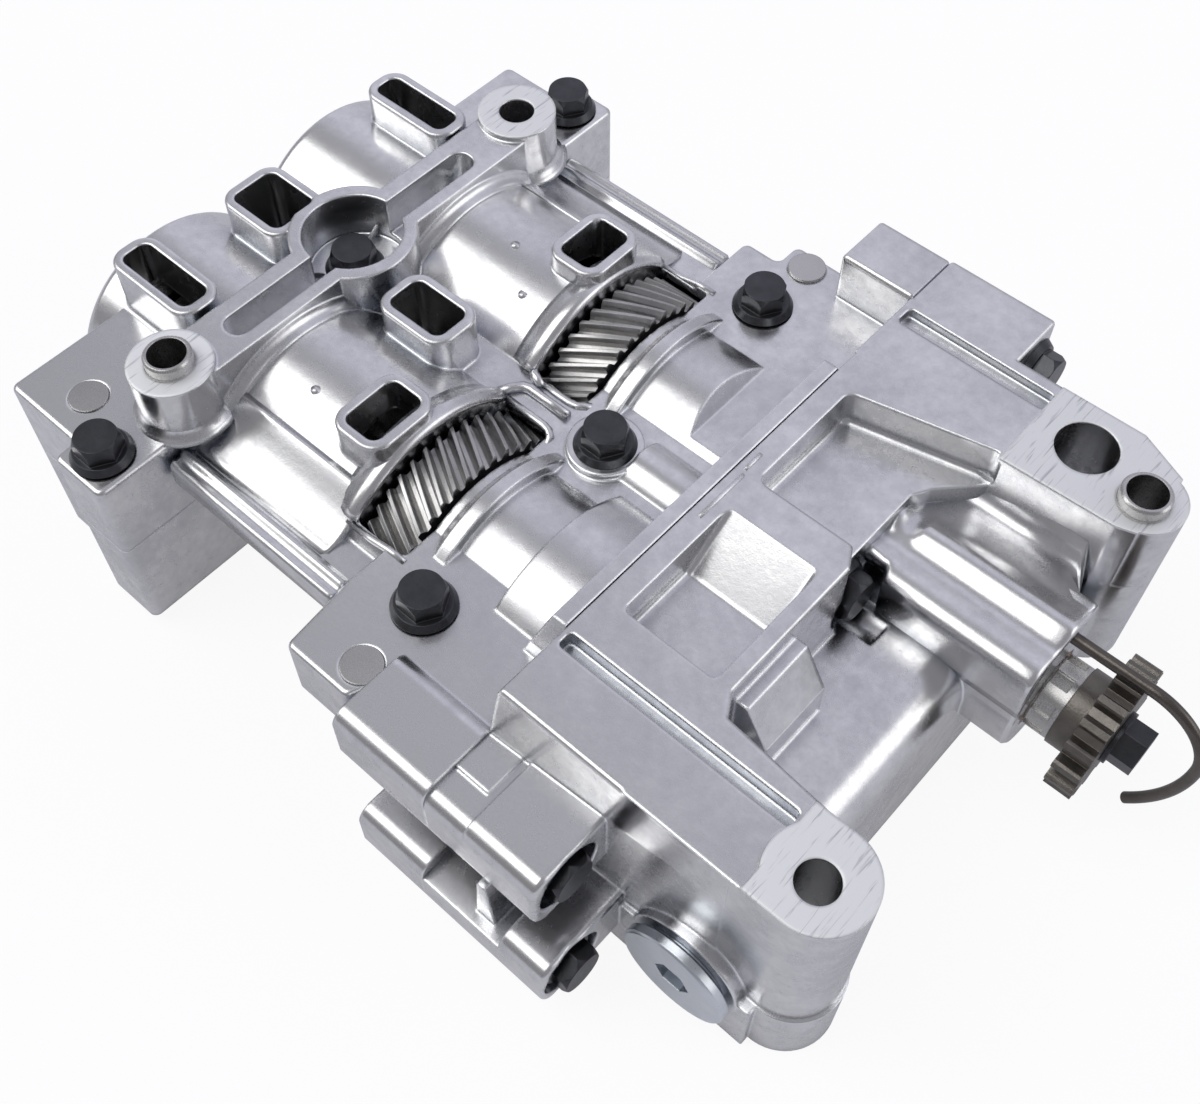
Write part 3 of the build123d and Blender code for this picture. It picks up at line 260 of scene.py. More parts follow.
@dataclass(frozen=True)
class CastAluminium(Finish):
    """Die-cast aluminium, blasted bright, with its mounting pads milled flat.

    The skin shows cloudy patches, an uneven gloss and a fine grain, with a painted highlight along its
    edges and painted shade in its creases. The pads catch the light white, with fine grey milling
    scratches.
    """

    pad_colour: str = "#F7F8F9"
    pad_scratch: str = "#CFD0D4"
    pad_rough: float = 0.62
    pad_depth_mm: float = 0.15
    pad_level: float = 0.98
    # Painted highlight along the edges: its colour, and the range of the match between rounded and flat
    # normals that marks an edge
    edge_highlight_colour: str = "#F4F5F7"
    wear: tuple[float, float] = (0.995, 0.93)
    # Painted shade in creases and hollows: its colour, how far ambient occlusion looks, and the occlusion
    # range that fades it in
    crease_shade_colour: str = "#A0A4AC"
    crease_shade_mm: float = 7.0
    crease_shade_span: tuple[float, float] = (0.15, 0.75)
    mottle_mm: float = 3.4
    mottle_share: float = 0.45
    cloud_span: tuple[float, float] = (0.36, 0.62)
    peel_mm: float = 1.5
    peel_bump_mm: float = 0.04
    grain_bump_mm: float = 0.02
    scratch_mm: float = 0.7
    scratch_turn: float = 0.9
    scratch_width: float = 0.07
    scratch_span: tuple[float, float] = (0.3, 0.42)

    def skin(self, tree: Tree, where: Socket) -> tuple[Socket, Socket]:
        """Mix the cloudy tone of the skin, and darken its creases with painted shade.

        Args:
            tree: Node tree of the material.
            where: Object coordinates.

        Returns:
            The colour of the skin with painted shade in its creases, and the cloud value that drives it.
        """
        patch = add_node(tree, "ShaderNodeTexNoise", {
            "Vector": where, "Scale": 1 / (self.patch_mm * MM), "Detail": 6.0, "Roughness": 0.62,
        })
        mottle = add_node(tree, "ShaderNodeTexNoise", {
            "Vector": where, "Scale": 1 / (self.mottle_mm * MM), "Detail": 5.0, "Roughness": 0.68,
        })
        cloud = add_node(tree, "ShaderNodeMix", {
            0: self.mottle_share, 2: patch.outputs["Fac"], 3: mottle.outputs["Fac"],
        }).outputs[0]
        wide = add_node(tree, "ShaderNodeMapRange", {
            "Value": cloud, "From Min": self.cloud_span[0], "From Max": self.cloud_span[1],
        }).outputs["Result"]
        tone = add_node(tree, "ShaderNodeMix", {
            0: wide, 6: linear(self.shade), 7: linear(self.colour),
        }, data_type="RGBA")
        # Painted shade: the skin darkens towards a grey where ambient occlusion finds creases and hollows
        hollow = add_node(tree, "ShaderNodeAmbientOcclusion", {"Distance": self.crease_shade_mm * MM}, samples=6)
        fade = add_node(tree, "ShaderNodeMapRange", {
            "Value": hollow.outputs["AO"], "From Min": self.crease_shade_span[0], "From Max": self.crease_shade_span[1],
        })
        made = add_node(tree, "ShaderNodeMix", {
            0: fade.outputs["Result"], 6: linear(self.crease_shade_colour), 7: tone.outputs[2],
        }, data_type="RGBA")
        return made.outputs[2], wide

    def milled(self, tree: Tree, where: Socket) -> Socket:
        """Find the milled faces: level, and on the plane of the pads.

        Args:
            tree: Node tree of the material.
            where: Object coordinates.

        Returns:
            A socket that is 1 on the pads and 0 elsewhere.
        """
        height = add_node(tree, "ShaderNodeSeparateXYZ", {0: where}).outputs["Z"]
        depth = -self.pad_depth_mm * MM
        level = add_node(tree, "ShaderNodeMath", {0: height, 1: depth}, operation="GREATER_THAN")
        normal = add_node(tree, "ShaderNodeNewGeometry").outputs["Normal"]
        facing = add_node(tree, "ShaderNodeSeparateXYZ", {0: normal}).outputs["Z"]
        upward = add_node(tree, "ShaderNodeMath", {0: facing, 1: self.pad_level}, operation="GREATER_THAN")
        both = {0: level.outputs[0], 1: upward.outputs[0]}
        return add_node(tree, "ShaderNodeMath", both, operation="MULTIPLY").outputs[0]

    def painted_edge_highlight(self, tree: Tree, rounded: Socket) -> Socket:
        """Find the rounded edges that get a painted highlight.

        Args:
            tree: Node tree of the material.
            rounded: Normals of the softened edges.

        Returns:
            A socket that rises to 1 on the edges.
        """
        flat = add_node(tree, "ShaderNodeNewGeometry").outputs["Normal"]
        match = add_node(tree, "ShaderNodeVectorMath", {0: rounded, 1: flat}, operation="DOT_PRODUCT")
        return add_node(tree, "ShaderNodeMapRange", {
            "Value": match.outputs["Value"], "From Min": self.wear[0], "From Max": self.wear[1],
        }).outputs["Result"]

    def pad_tone(self, tree: Tree, where: Socket) -> Socket:
        """Draw the milling scratches of the pads.

        Args:
            tree: Node tree of the material.
            where: Object coordinates.

        Returns:
            The colour of the milled faces.
        """
        # Real milling marks are finer than the render can show, so they are drawn coarser
        stretch = add_node(tree, "ShaderNodeMapping", {
            "Vector": where, "Rotation": (0.0, 0.0, self.scratch_turn),
            "Scale": (1.0, self.scratch_width, 1.0),
        })
        scratch = add_node(tree, "ShaderNodeTexNoise", {
            "Vector": stretch.outputs[0], "Scale": 1 / (self.scratch_mm * MM),
            "Detail": 4.0, "Distortion": 0.6,
        })
        cut = add_node(tree, "ShaderNodeMapRange", {
            "Value": scratch.outputs["Fac"],
            "From Min": self.scratch_span[0], "From Max": self.scratch_span[1],
        })
        return add_node(tree, "ShaderNodeMix", {
            0: cut.outputs["Result"], 6: linear(self.pad_scratch), 7: linear(self.pad_colour),
        }, data_type="RGBA").outputs[2]

    def material(self) -> bpy.types.Material:
        """Build the material.

        Returns:
            A cast skin with milled faces on the plane of the pads.
        """
        material, tree, shader = self.start()
        where = add_node(tree, "ShaderNodeTexCoord").outputs["Object"]
        skin, cloud = self.skin(tree, where)
        pads = self.milled(tree, where)
        edge = add_node(tree, "ShaderNodeBevel", {"Radius": self.edge_mm * MM}, samples=8)
        rim = self.painted_edge_highlight(tree, edge.outputs["Normal"])
        # Painted highlight: the skin turns pale along the rounded edges
        worn = add_node(tree, "ShaderNodeMix", {
            0: rim, 6: skin, 7: linear(self.edge_highlight_colour),
        }, data_type="RGBA")
        colour = add_node(tree, "ShaderNodeMix", {
            0: pads, 6: worn.outputs[2], 7: self.pad_tone(tree, where),
        }, data_type="RGBA")
        gloss = add_node(tree, "ShaderNodeMapRange", {
            "Value": cloud, "To Min": self.roughness + self.spread, "To Max": self.roughness - self.spread,
        })
        rough = add_node(tree, "ShaderNodeMix", {
            0: pads, 2: gloss.outputs["Result"], 3: self.pad_rough,
        })
        normal = edge.outputs["Normal"]
        # Real blasting marks are finer than the render can show, so these two sizes are drawn coarser
        marks = ((self.peel_mm, 3.0, self.peel_bump_mm), (self.grain_mm, 2.0, self.grain_bump_mm))
        for size, detail, depth in marks:
            mark = add_node(tree, "ShaderNodeTexNoise", {
                "Vector": where, "Scale": 1 / (size * MM), "Detail": detail,
            })
            normal = add_node(tree, "ShaderNodeBump", {
                "Height": mark.outputs["Fac"], "Strength": self.relief,
                "Distance": depth * MM, "Normal": normal,
            }).outputs["Normal"]
        self.finish(tree, shader, colour.outputs[2], rough.outputs[0], normal)
        return material


FINISHES: dict[Coat, Finish] = {
    # Blasted die casting: a soft pale gleam in cloudy patches, with a painted highlight along its edges and
    # painted shade in its creases
    Coat.CASTING: CastAluminium(
        "cast aluminium", colour="#EDEDED", shade="#D3D3D6", roughness=0.26, spread=0.07,
        grain_mm=0.35, relief=0.4, edge_mm=1.1, patch_mm=26.0,
    ),
    # Bolts phosphated and oiled: dark grey, with a dull sheen that shows the edges of the hexagon
    Coat.BLACK_BOLT: Finish(
        "black phosphated steel", colour="#5E5F62", shade="#3E3F42", roughness=0.31, spread=0.08,
        grain_mm=0.5, relief=0.35, metallic=0.9, patch_mm=4.0,
    ),
    # Ground steel: clean and slightly warm, in bright bands round the hub and the sleeves
    Coat.STEEL: Finish(
        "ground steel", colour="#DAD8D5", shade="#B9B8B7", roughness=0.28, spread=0.06,
        grain_mm=0.3, relief=0.15,
    ),
    # Hobbed teeth: bright flanks with crisp edges between dark gaps
    Coat.GEAR_STEEL: Finish(
        "cut gear steel", colour="#D3D2D0", shade="#A5A4A4", roughness=0.30, spread=0.08,
        grain_mm=0.4, relief=0.15, edge_mm=0.12, patch_mm=5.0,
    ),
    # Pressed and sintered iron: duller and browner than cut steel, with an open grain
    Coat.SINTERED: Finish(
        "sintered iron", colour="#8E8983", shade="#625E59", roughness=0.36, spread=0.10,
        grain_mm=0.4, relief=0.5, metallic=0.95, edge_mm=0.3, patch_mm=4.0,
    ),
    # Zinc plating: pale and cool beside the casting, with little grain
    Coat.ZINC: Finish(
        "zinc plated steel", colour="#EEF2F6", shade="#D2D9E1", roughness=0.3, spread=0.06,
        grain_mm=0.6, relief=0.2, patch_mm=6.0,
    ),
    # Turned bronze bushes: a warm yellow brown, almost hidden in the bores
    Coat.BRONZE: Finish(
        "bearing bronze", colour="#B08D57", shade="#8F6F40", roughness=0.35, spread=0.08,
        grain_mm=0.4, relief=0.2,
    ),
    # Drawn wire, oiled: dark brown grey, with one thin highlight along it
    Coat.WIRE: Finish(
        "oiled spring wire", colour="#7E7873", shade="#56514C", roughness=0.32, spread=0.08,
        grain_mm=0.5, relief=0.3, metallic=0.95, edge_mm=0.2, patch_mm=6.0,
    ),
}

WORN: dict[str, Coat] = {
    "upper_housing": Coat.CASTING, "lower_housing": Coat.CASTING, "pump_housing": Coat.CASTING,
    "pump_cover": Coat.STEEL, "cover_screws": Coat.BLACK_BOLT, "case_bolts": Coat.BLACK_BOLT,
    "pump_bolts": Coat.BLACK_BOLT, "dowel_sleeves": Coat.STEEL, "casting_dowels": Coat.STEEL,
    "shaft_bushes": Coat.BRONZE, "nose_bush": Coat.BRONZE, "drive_shaft": Coat.STEEL,
    "driven_shaft": Coat.STEEL, "drive_gear": Coat.GEAR_STEEL, "driven_gear": Coat.GEAR_STEEL,
    "drive_hub": Coat.STEEL, "sprocket": Coat.SINTERED, "sprocket_bolt": Coat.BLACK_BOLT,
    "lock_pin": Coat.WIRE, "rotor_key": Coat.STEEL, "inner_rotor": Coat.SINTERED,
    "outer_rotor": Coat.SINTERED, "relief_piston": Coat.STEEL, "relief_spring": Coat.WIRE,
    "relief_plug": Coat.ZINC, "plug_seal": Coat.ZINC,
}


@dataclass
class Castings:
    """The nodes of the module and the finishes they wear."""

    worn: dict[str, Coat] = field(default_factory=lambda: dict(WORN))

    def dress(self) -> None:
        """Give every node its finish."""
        made = {coat: finish.material() for coat, finish in FINISHES.items()}
        for name, coat in self.worn.items():
            thing = bpy.data.objects[name]
            thing.data.materials.clear()
            thing.data.materials.append(made[coat])
            log.info("%s wears %s", name, made[coat].name)


@dataclass
class CastDetail:
    """Fine forms of the castings: coves, rims, skirts and marks, laid on the solids."""

    coat: Finish
    shaft_y: float = 28.5
    shaft_z: float = -38.0
    hump_r: float = 32.0
    rear_hump_r: float = 29.5
    bridge: tuple[float, float] = (-97.5, -82.7)
    window: tuple[float, float] = (-37.8, -22.6)
    window_half: float = 23.2
    post: tuple[float, float] = (91.0, 56.25)
    # Size of each cove and the angle from the vertical to its ends, in millimetres and degrees
    front_cove: tuple[float, float] = (3.0, 50.0)
    rear_cove: tuple[float, float] = (2.6, 52.0)
    cove_sink: float = 0.6
    cove_steps: int = 6
    lip_half: float = 46.0
    spin_step: float = 3.0
    rim_gap: float = 0.9
    rim_z: float = -16.2
    rim_inner_r: float = 1.1
    rim_outer_r: float = 0.9
    rib_r: float = 1.3
    # Heights and places of the crown over the sprocket boss
    boss_z: float = -15.05
    crown_rear_z: float = -11.2
    crown_top_z: float = -15.4
    crown_under_z: float = -16.4
    crown_side_y: float = 12.0
    crown_crest_y: float = 18.5
    crown_tuck: float = 0.12
    rail_taper: float = 0.9
    rail_shrink: float = 0.18
    skirt_r: float = 9.7
    skirt_flare: float = 3.0
    skirt_height: float = 4.6
    skirt_z: float = -15.0
    skirt_steps: int = 7
    bar_z: float = -0.55
    bar_width: float = 0.9
    bar_height: float = 0.6
    bar_edge: float = 0.15
    mark_r: tuple[float, float] = (1.3, 1.1)
    mark_height: float = 0.9
    made: bpy.types.Material | None = None

    def keep(self, name: str, body: bmesh.types.BMesh) -> None:
        """Turn a finished mesh into a piece of the casting.

        Args:
            name: Name of the piece.
            body: Closed mesh in metres, freed here.
        """
        add_piece(name, body, self.made, "module")

    def spun(self, name: str, profile: Outline, side: int, half: float) -> None:
        """Spin a closed profile part of the way round one shaft.

        Args:
            name: Name of the piece.
            profile: Points along X and out from the shaft, in millimetres.
            side: -1 for the driven shaft, 1 for the drive shaft.
            half: Angle from the vertical to each end, in degrees.
        """
        body = bmesh.new()
        y = side * self.shaft_y * MM
        z = self.shaft_z * MM
        first = radians(-half)
        corners = [
            body.verts.new((x * MM, y + r * MM * sin(first), z + r * MM * cos(first))) for x, r in profile
        ]
        face = body.faces.new(corners)
        steps = int(2 * half / self.spin_step)
        bmesh.ops.spin(body, geom=[face, *face.edges, *face.verts], cent=(0.0, y, z), axis=(1.0, 0.0, 0.0),
                       angle=-radians(2 * half), steps=steps, use_duplicate=False)
        self.keep(name, body)

    def cove(self, x: float, way: int, radius: float, size: float) -> Outline:
        """Make the profile of a concave fillet between a shaft drum and a wall across it.

        Args:
            x: Place of the wall along X.
            way: 1 where the drum goes on towards +X, otherwise -1.
            radius: Radius of the drum.
            size: Radius of the fillet.

        Returns:
            Points along X and out from the shaft.
        """
        sunk = radius - self.cove_sink
        points = [(x - way * self.cove_sink, sunk), (x + way * size, sunk)]
        for step in range(self.cove_steps + 1):
            turn = pi / 2 * step / self.cove_steps
            points.append((x + way * size * (1 - sin(turn)), radius + size * (1 - cos(turn))))
        points.append((x - way * self.cove_sink, radius + size))
        return points

    def loft(self, name: str, sections: list[tuple[float, Outline]]) -> None:
        """Bridge closed sections that stand across X.

        Args:
            name: Name of the piece.
            sections: Place along X and the section's points along Y and Z, as many in each, in
                millimetres.
        """
        body = bmesh.new()
        loops = []
        for x, outline in sections:
            corners = [body.verts.new((x * MM, y * MM, z * MM)) for y, z in outline]
            loops.append([
                body.edges.new((corners[number - 1], corner)) for number, corner in enumerate(corners)
            ])
            if len(loops) in (1, len(sections)):
                body.faces.new(corners)
            if len(loops) > 1:
                bmesh.ops.bridge_loops(body, edges=loops[-2] + loops[-1])
        self.keep(name, body)

    def lowered(self, outline: Outline, rise: float, side: float) -> Outline:
        """Cut the ridges of the crown off, with its left side moved in and the skirt tucked up.

        Args:
            outline: Section of the crown.
            rise: Height over the boss that the ridges keep, in millimetres.
            side: Place along Y that the left side moves to.

        Returns:
            The lowered section, with as many points.
        """
        share = (self.crown_crest_y - side) / (self.crown_crest_y - self.crown_side_y)
        points = []
        for y, z in outline:
            if y < self.crown_crest_y:
                y = side + (y - self.crown_side_y) * share
            if z < self.crown_under_z:
                z = self.crown_under_z + (z - self.crown_under_z) * self.crown_tuck
            points.append((y, min(z, self.boss_z + rise)))
        return points

    def boss_crown(self) -> None:
        """Lay the ridged top of the sprocket boss, with the valley that joins it to the right arm."""
        left = [(13.3, -31.0), (12.5, -27.5), (12.2, -24.0), (12.0, -18.4), (12.3, -16.4), (13.2, -15.2),
                (15.5, -14.3), (18.5, -14.2), (21.0, -14.8), (23.2, -15.05), (25.0, -14.2), (27.0, -12.9),
                (29.0, -12.5), (31.0, -13.1), (33.0, -14.4), (35.5, -15.05)]
        valley = [(39.0, -15.1), (42.0, -15.3), (44.3, -14.6), (45.6, -12.4), (46.2, -9.0), (47.4, -8.6),
                  (47.4, -16.6), (44.0, -16.8), (41.0, -16.8), (38.5, -16.6), (36.0, -16.4)]
        slope = [(38.9, -15.6), (39.9, -17.6), (41.0, -20.0), (42.2, -22.6), (43.2, -25.0), (44.4, -28.2),
                 (43.2, -28.6), (42.0, -26.2), (40.4, -22.8), (39.0, -19.6), (36.8, -16.5)]
        under = [(20.0, -16.4), (17.4, -19.6), (15.6, -27.0)]
        full = left + valley + under
        front = left + slope + under
        rear = [(y, min(z, self.crown_rear_z)) for y, z in self.lowered(full, 4.2, 16.0)]
        sections = [(50.7, rear)]
        # Place along X, height that the ridges keep and place of the left side, forward from the deck
        for x, rise, side in ((51.3, 2.9, 16.0), (52.2, 1.7, 16.0), (53.4, 0.8, 16.0), (54.8, 0.4, 16.0),
                              (56.4, 1.0, 16.0), (57.4, 1.9, 14.4)):
            sections.append((x, self.lowered(full, rise, side)))
        sections += [(x, full) for x in (58.4, 72.0, 86.5)]
        # Place along X and how far the top is drawn in, towards the rounded front end
        for x, inset in ((91.0, 0.0), (94.6, 0.0), (95.4, 0.2), (95.9, 0.5)):
            sections.append((x, [(y, z - inset if z > self.crown_top_z else z) for y, z in front]))
        self.loft("boss_crown", sections)

    def rails(self) -> None:
        """Lay the long side rails of the case, each with its groove, and the run up to the hump."""
        rail = [(61.5, -23.0), (61.5, -19.6), (62.6, -19.4), (63.2, -18.4), (63.9, -18.0), (64.6, -18.3),
                (65.2, -19.1), (66.4, -19.3), (67.2, -18.7), (67.9, -18.6), (68.6, -19.2), (68.9, -20.4),
                (68.9, -25.0), (68.0, -25.8), (63.0, -25.8)]
        run = [(46.6, -13.6), (45.8, -11.0), (47.5, -12.05), (49.5, -13.6), (51.5, -15.1), (53.5, -16.5),
               (55.5, -17.6), (57.5, -18.5), (59.5, -19.05), (61.8, -19.35), (62.0, -21.0), (54.0, -20.6),
               (50.5, -17.5)]
        shapes = (("side_rail", rail, -83.6, -29.0), ("side_run", run, -82.5, -38.5))
        for side, tag in ((-1, "left"), (1, "right")):
            for name, outline, first, last in shapes:
                points = [(side * y, z) for y, z in outline]
                y_middle = sum(y for y, z in points) / len(points)
                z_middle = sum(z for y, z in points) / len(points)
                small = [
                    (y + (y_middle - y) * self.rail_shrink, z + (z_middle - z) * self.rail_shrink)
                    for y, z in points
                ]
                self.loft(f"{name}_{tag}", [
                    (first, small), (first + self.rail_taper, points),
                    (last - self.rail_taper, points), (last, small),
                ])

    def ribs(self) -> None:
        """Lay the folded rib between the two gear windows, with its short stem."""
        fold = [(-39.8, -4.8, -15.4), (-38.5, -2.0, -15.4), (-36.6, 0.4, -15.4), (-35.0, 1.0, -15.4),
                (-30.0, 1.0, -15.4), (-22.9, 0.9, -15.4)]
        stem = [(-42.1, 9.6, -15.2), (-39.5, 7.0, -15.4), (-37.0, 4.8, -15.5), (-33.5, 3.2, -15.5)]
        self.bead("window_rib_fold", fold, self.rib_r)
        self.bead("window_rib_stem", stem, self.rib_r)

    def coves(self) -> None:
        """Lay fillets where the bridge stands across the humps."""
        front = self.cove(self.bridge[1], 1, self.hump_r, self.front_cove[0])
        rear = self.cove(self.bridge[0], -1, self.rear_hump_r, self.rear_cove[0])
        for side, tag in ((-1, "left"), (1, "right")):
            self.spun(f"bridge_cove_front_{tag}", front, side, self.front_cove[1])
            self.spun(f"bridge_cove_rear_{tag}", rear, side, self.rear_cove[1])

    def window_lips(self) -> None:
        """Flare the rear edge of each gear window."""
        x = self.window[0]
        r = self.hump_r
        profile = [(x - 7.0, r - 0.5), (x - 7.0, r + 0.02), (x - 5.6, r + 0.25), (x - 4.4, r + 0.8),
                   (x - 3.3, r + 1.5), (x - 2.2, r + 1.95), (x - 1.0, r + 2.05), (x, r + 1.7),
                   (x + 0.6, r + 1.0), (x + 0.8, r + 0.1), (x + 0.5, r - 0.5)]
        for side, tag in ((-1, "left"), (1, "right")):
            self.spun(f"window_lip_{tag}", profile, side, self.lip_half)

    def bead(self, name: str, points: list[tuple[float, float, float]], radius: float) -> None:
        """Lay a round bead along a line.

        Args:
            name: Name of the piece.
            points: Places along the line, in millimetres.
            radius: Radius of the bead in millimetres.
        """
        self.keep(name, tube(points, radius))

    def window_rims(self) -> None:
        """Raise a rim along the inner side of each gear window, round its front corner, and one outside."""
        x0, x1 = self.window
        for side, tag in ((-1, "left"), (1, "right")):
            near = side * (self.shaft_y - self.window_half - self.rim_gap)
            far = side * (self.shaft_y + self.window_half + self.rim_gap)
            low = self.rim_z
            inner = [(x0 - 2.0, near, low), (x1 - 3.0, near, low), (x1 - 1.0, near + side * 0.4, low),
                     (x1 + 0.6, near + side * 1.6, low), (x1 + 1.2, near + side * 3.4, low - 1.0),
                     (x1 + 1.2, near + side * 6.0, low - 3.0)]
            outer = [(x0 - 2.0, far, low - 0.6), (x0 + 6.0, far, low - 0.3), (x1 - 4.0, far, low + 1.1),
                     (x1 + 1.0, far, low + 1.1)]
            self.bead(f"window_rim_inner_{tag}", inner, self.rim_inner_r)
            self.bead(f"window_rim_outer_{tag}", outer, self.rim_outer_r)

    def skirts(self) -> None:
        """Flare the feet of the two rear posts into the blocks."""
        for side, tag in ((-1, "left"), (1, "right")):
            x, y = -self.post[0] * MM, side * self.post[1] * MM
            inside = self.skirt_r - 0.9
            ring = [(inside, self.skirt_z - 0.4)]
            for step in range(self.skirt_steps + 1):
                turn = pi / 2 * step / self.skirt_steps
                ring.append((self.skirt_r + self.skirt_flare * (1 - sin(turn)),
                             self.skirt_z + self.skirt_height * (1 - cos(turn))))
            ring.append((inside, self.skirt_z + self.skirt_height))
            body = bmesh.new()
            corners = [body.verts.new((x + r * MM, y, z * MM)) for r, z in ring]
            edges = [body.edges.new((corners[number - 1], corner)) for number, corner in enumerate(corners)]
            bmesh.ops.spin(body, geom=[*corners, *edges], cent=(x, y, 0.0), axis=(0.0, 0.0, 1.0),
                           angle=2 * pi, steps=48, use_merge=True, use_duplicate=False)
            self.keep(f"post_skirt_{tag}", body)

    def bars(self) -> None:
        """Raise the two thin bars beside the joint, and small round ejector marks."""
        for number, (x, first, last) in enumerate(((23.9, -9.0, 5.8), (23.3, 7.0, 12.6))):
            body = bmesh.new()
            place = Matrix.Translation(Vector((x, (first + last) / 2, self.bar_z)) * MM)
            shape = Matrix.Diagonal((self.bar_width * MM, (last - first) * MM, self.bar_height * MM, 1.0))
            bmesh.ops.create_cube(body, size=1.0, matrix=place @ shape)
            bmesh.ops.bevel(body, geom=body.edges[:], affect="EDGES", offset=self.bar_edge * MM,
                            segments=2, profile=0.5, material=-1)
            self.keep(f"deck_bar_{number + 1}", body)
        marks = ((-63.0, 26.0, -6.2), (-52.0, 17.0, -8.4), (-66.0, -36.5, -7.2))
        for number, (x, y, z) in enumerate(marks):
            body = bmesh.new()
            bmesh.ops.create_cone(body, cap_ends=True, segments=20, radius1=self.mark_r[0] * MM,
                                  radius2=self.mark_r[1] * MM, depth=self.mark_height * MM,
                                  matrix=Matrix.Translation(Vector((x, y, z)) * MM))
            self.keep(f"ejector_mark_{number + 1}", body)

    def build(self) -> None:
        """Add every fine form."""
        self.made = self.coat.material()
        self.coves()
        self.window_lips()
        self.window_rims()
        self.ribs()
        self.rails()
        self.boss_crown()
        self.skirts()
        self.bars()


@dataclass
class TimingGears:
    """The two helical gears that turn the shafts against each other."""

    coat: Finish
    teeth: int = 44
    pitch_r: float = 28.5
    bore_r: float = 12.5
    # One flank from the tip to the root: share of the pitch from the middle of the tooth, and radius
    flank: tuple[tuple[float, float], ...] = (
        (0.1, 29.55), (0.13, 29.45), (0.245, 28.3), (0.3, 27.25), (0.36, 27.0),
    )
    back_x: float = -36.6
    width: float = 12.8
    helix: float = 30.0
    shaft_z: float = -38.0
    steps: int = 8

    def ring(self, turn: float) -> Outline:
        """Lay out the toothed outline.

        Args:
            turn: Angle of the first tooth from the vertical, in radians.

        Returns:
            Angle and radius of each corner, in order round the gear.
        """
        pitch = 2 * pi / self.teeth
        shape = [(-place, radius) for place, radius in reversed(self.flank)] + list(self.flank)
        return [
            (turn + (tooth + place) * pitch, radius)
            for tooth in range(self.teeth) for place, radius in shape
        ]

    def build(self) -> None:
        """Cut both gears, of opposite hands, so that their teeth mesh."""
        made = self.coat.material()
        lean = self.width * tan(radians(self.helix)) / self.pitch_r
        gears = ((1, "drive_gear", "drive_train", 0.0), (-1, "driven_gear", "driven_train", 0.5))
        for side, name, body_name, half in gears:
            body = bmesh.new()
            centre = Vector((self.back_x * MM, side * self.pitch_r * MM, self.shaft_z * MM))
            outline = self.ring(half * 2 * pi / self.teeth - side * lean / 2)
            front = []
            for row in (outline, [(angle, self.bore_r) for angle, radius in outline]):
                places = [Vector((0.0, r * MM * sin(angle), r * MM * cos(angle))) for angle, r in row]
                corners = [body.verts.new(centre + place) for place in places]
                front += [
                    body.edges.new((corners[number - 1], corner)) for number, corner in enumerate(corners)
                ]
            bmesh.ops.bridge_loops(body, edges=front)
            turn = Matrix.Rotation(-side * lean / self.steps, 3, "X")
            for step in range(self.steps):
                grown = bmesh.ops.extrude_edge_only(body, edges=front)["geom"]
                corners = [part for part in grown if isinstance(part, bmesh.types.BMVert)]
                moved = set(corners)
                edges = [part for part in grown if isinstance(part, bmesh.types.BMEdge)]
                front = [edge for edge in edges if moved.issuperset(edge.verts)]
                bmesh.ops.rotate(body, cent=centre, matrix=turn, verts=corners)
                bmesh.ops.translate(body, vec=(self.width / self.steps * MM, 0.0, 0.0), verts=corners)
            bmesh.ops.bridge_loops(body, edges=front)
            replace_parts(add_piece(name + "_cut", body, made, body_name, smooth=False), name)


@dataclass
class ReliefSpring:
    """Coil spring of the relief valve, which shortens as the piston opens."""

    coat: Finish
    turns: int = 7
    wire_r: float = 0.6
    travel: float = 6.0
    steps: int = 24

    def build(self) -> None:
        """Wind the spring between the plug and the piston."""
        low, high = (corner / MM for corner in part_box("relief_spring"))
        x, z = (low.x + high.x) / 2, (low.z + high.z) / 2
        coil_r = (high.x - low.x) / 2 - self.wire_r
        first, length = low.y + self.wire_r, high.y - low.y - 2 * self.wire_r
        points = []
        for step in range(self.turns * self.steps + 1):
            turn = 2 * pi * step / self.steps
            along = first + length * turn / (2 * pi * self.turns)
            points.append((x + coil_r * cos(turn), along, z + coil_r * sin(turn)))
        coil = tube(points, self.wire_r)
        thing = add_piece("relief_spring_coil", coil, self.coat.material(), "module")
        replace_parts(thing, "relief_spring")
        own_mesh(thing)


@dataclass(frozen=True)
class SoftBox:
    """A bright patch of the sky, given by ranges of its direction."""

    x: tuple[float, float]
    y: tuple[float, float]
    z: tuple[float, float]
    level: float
    soft: float = 0.07


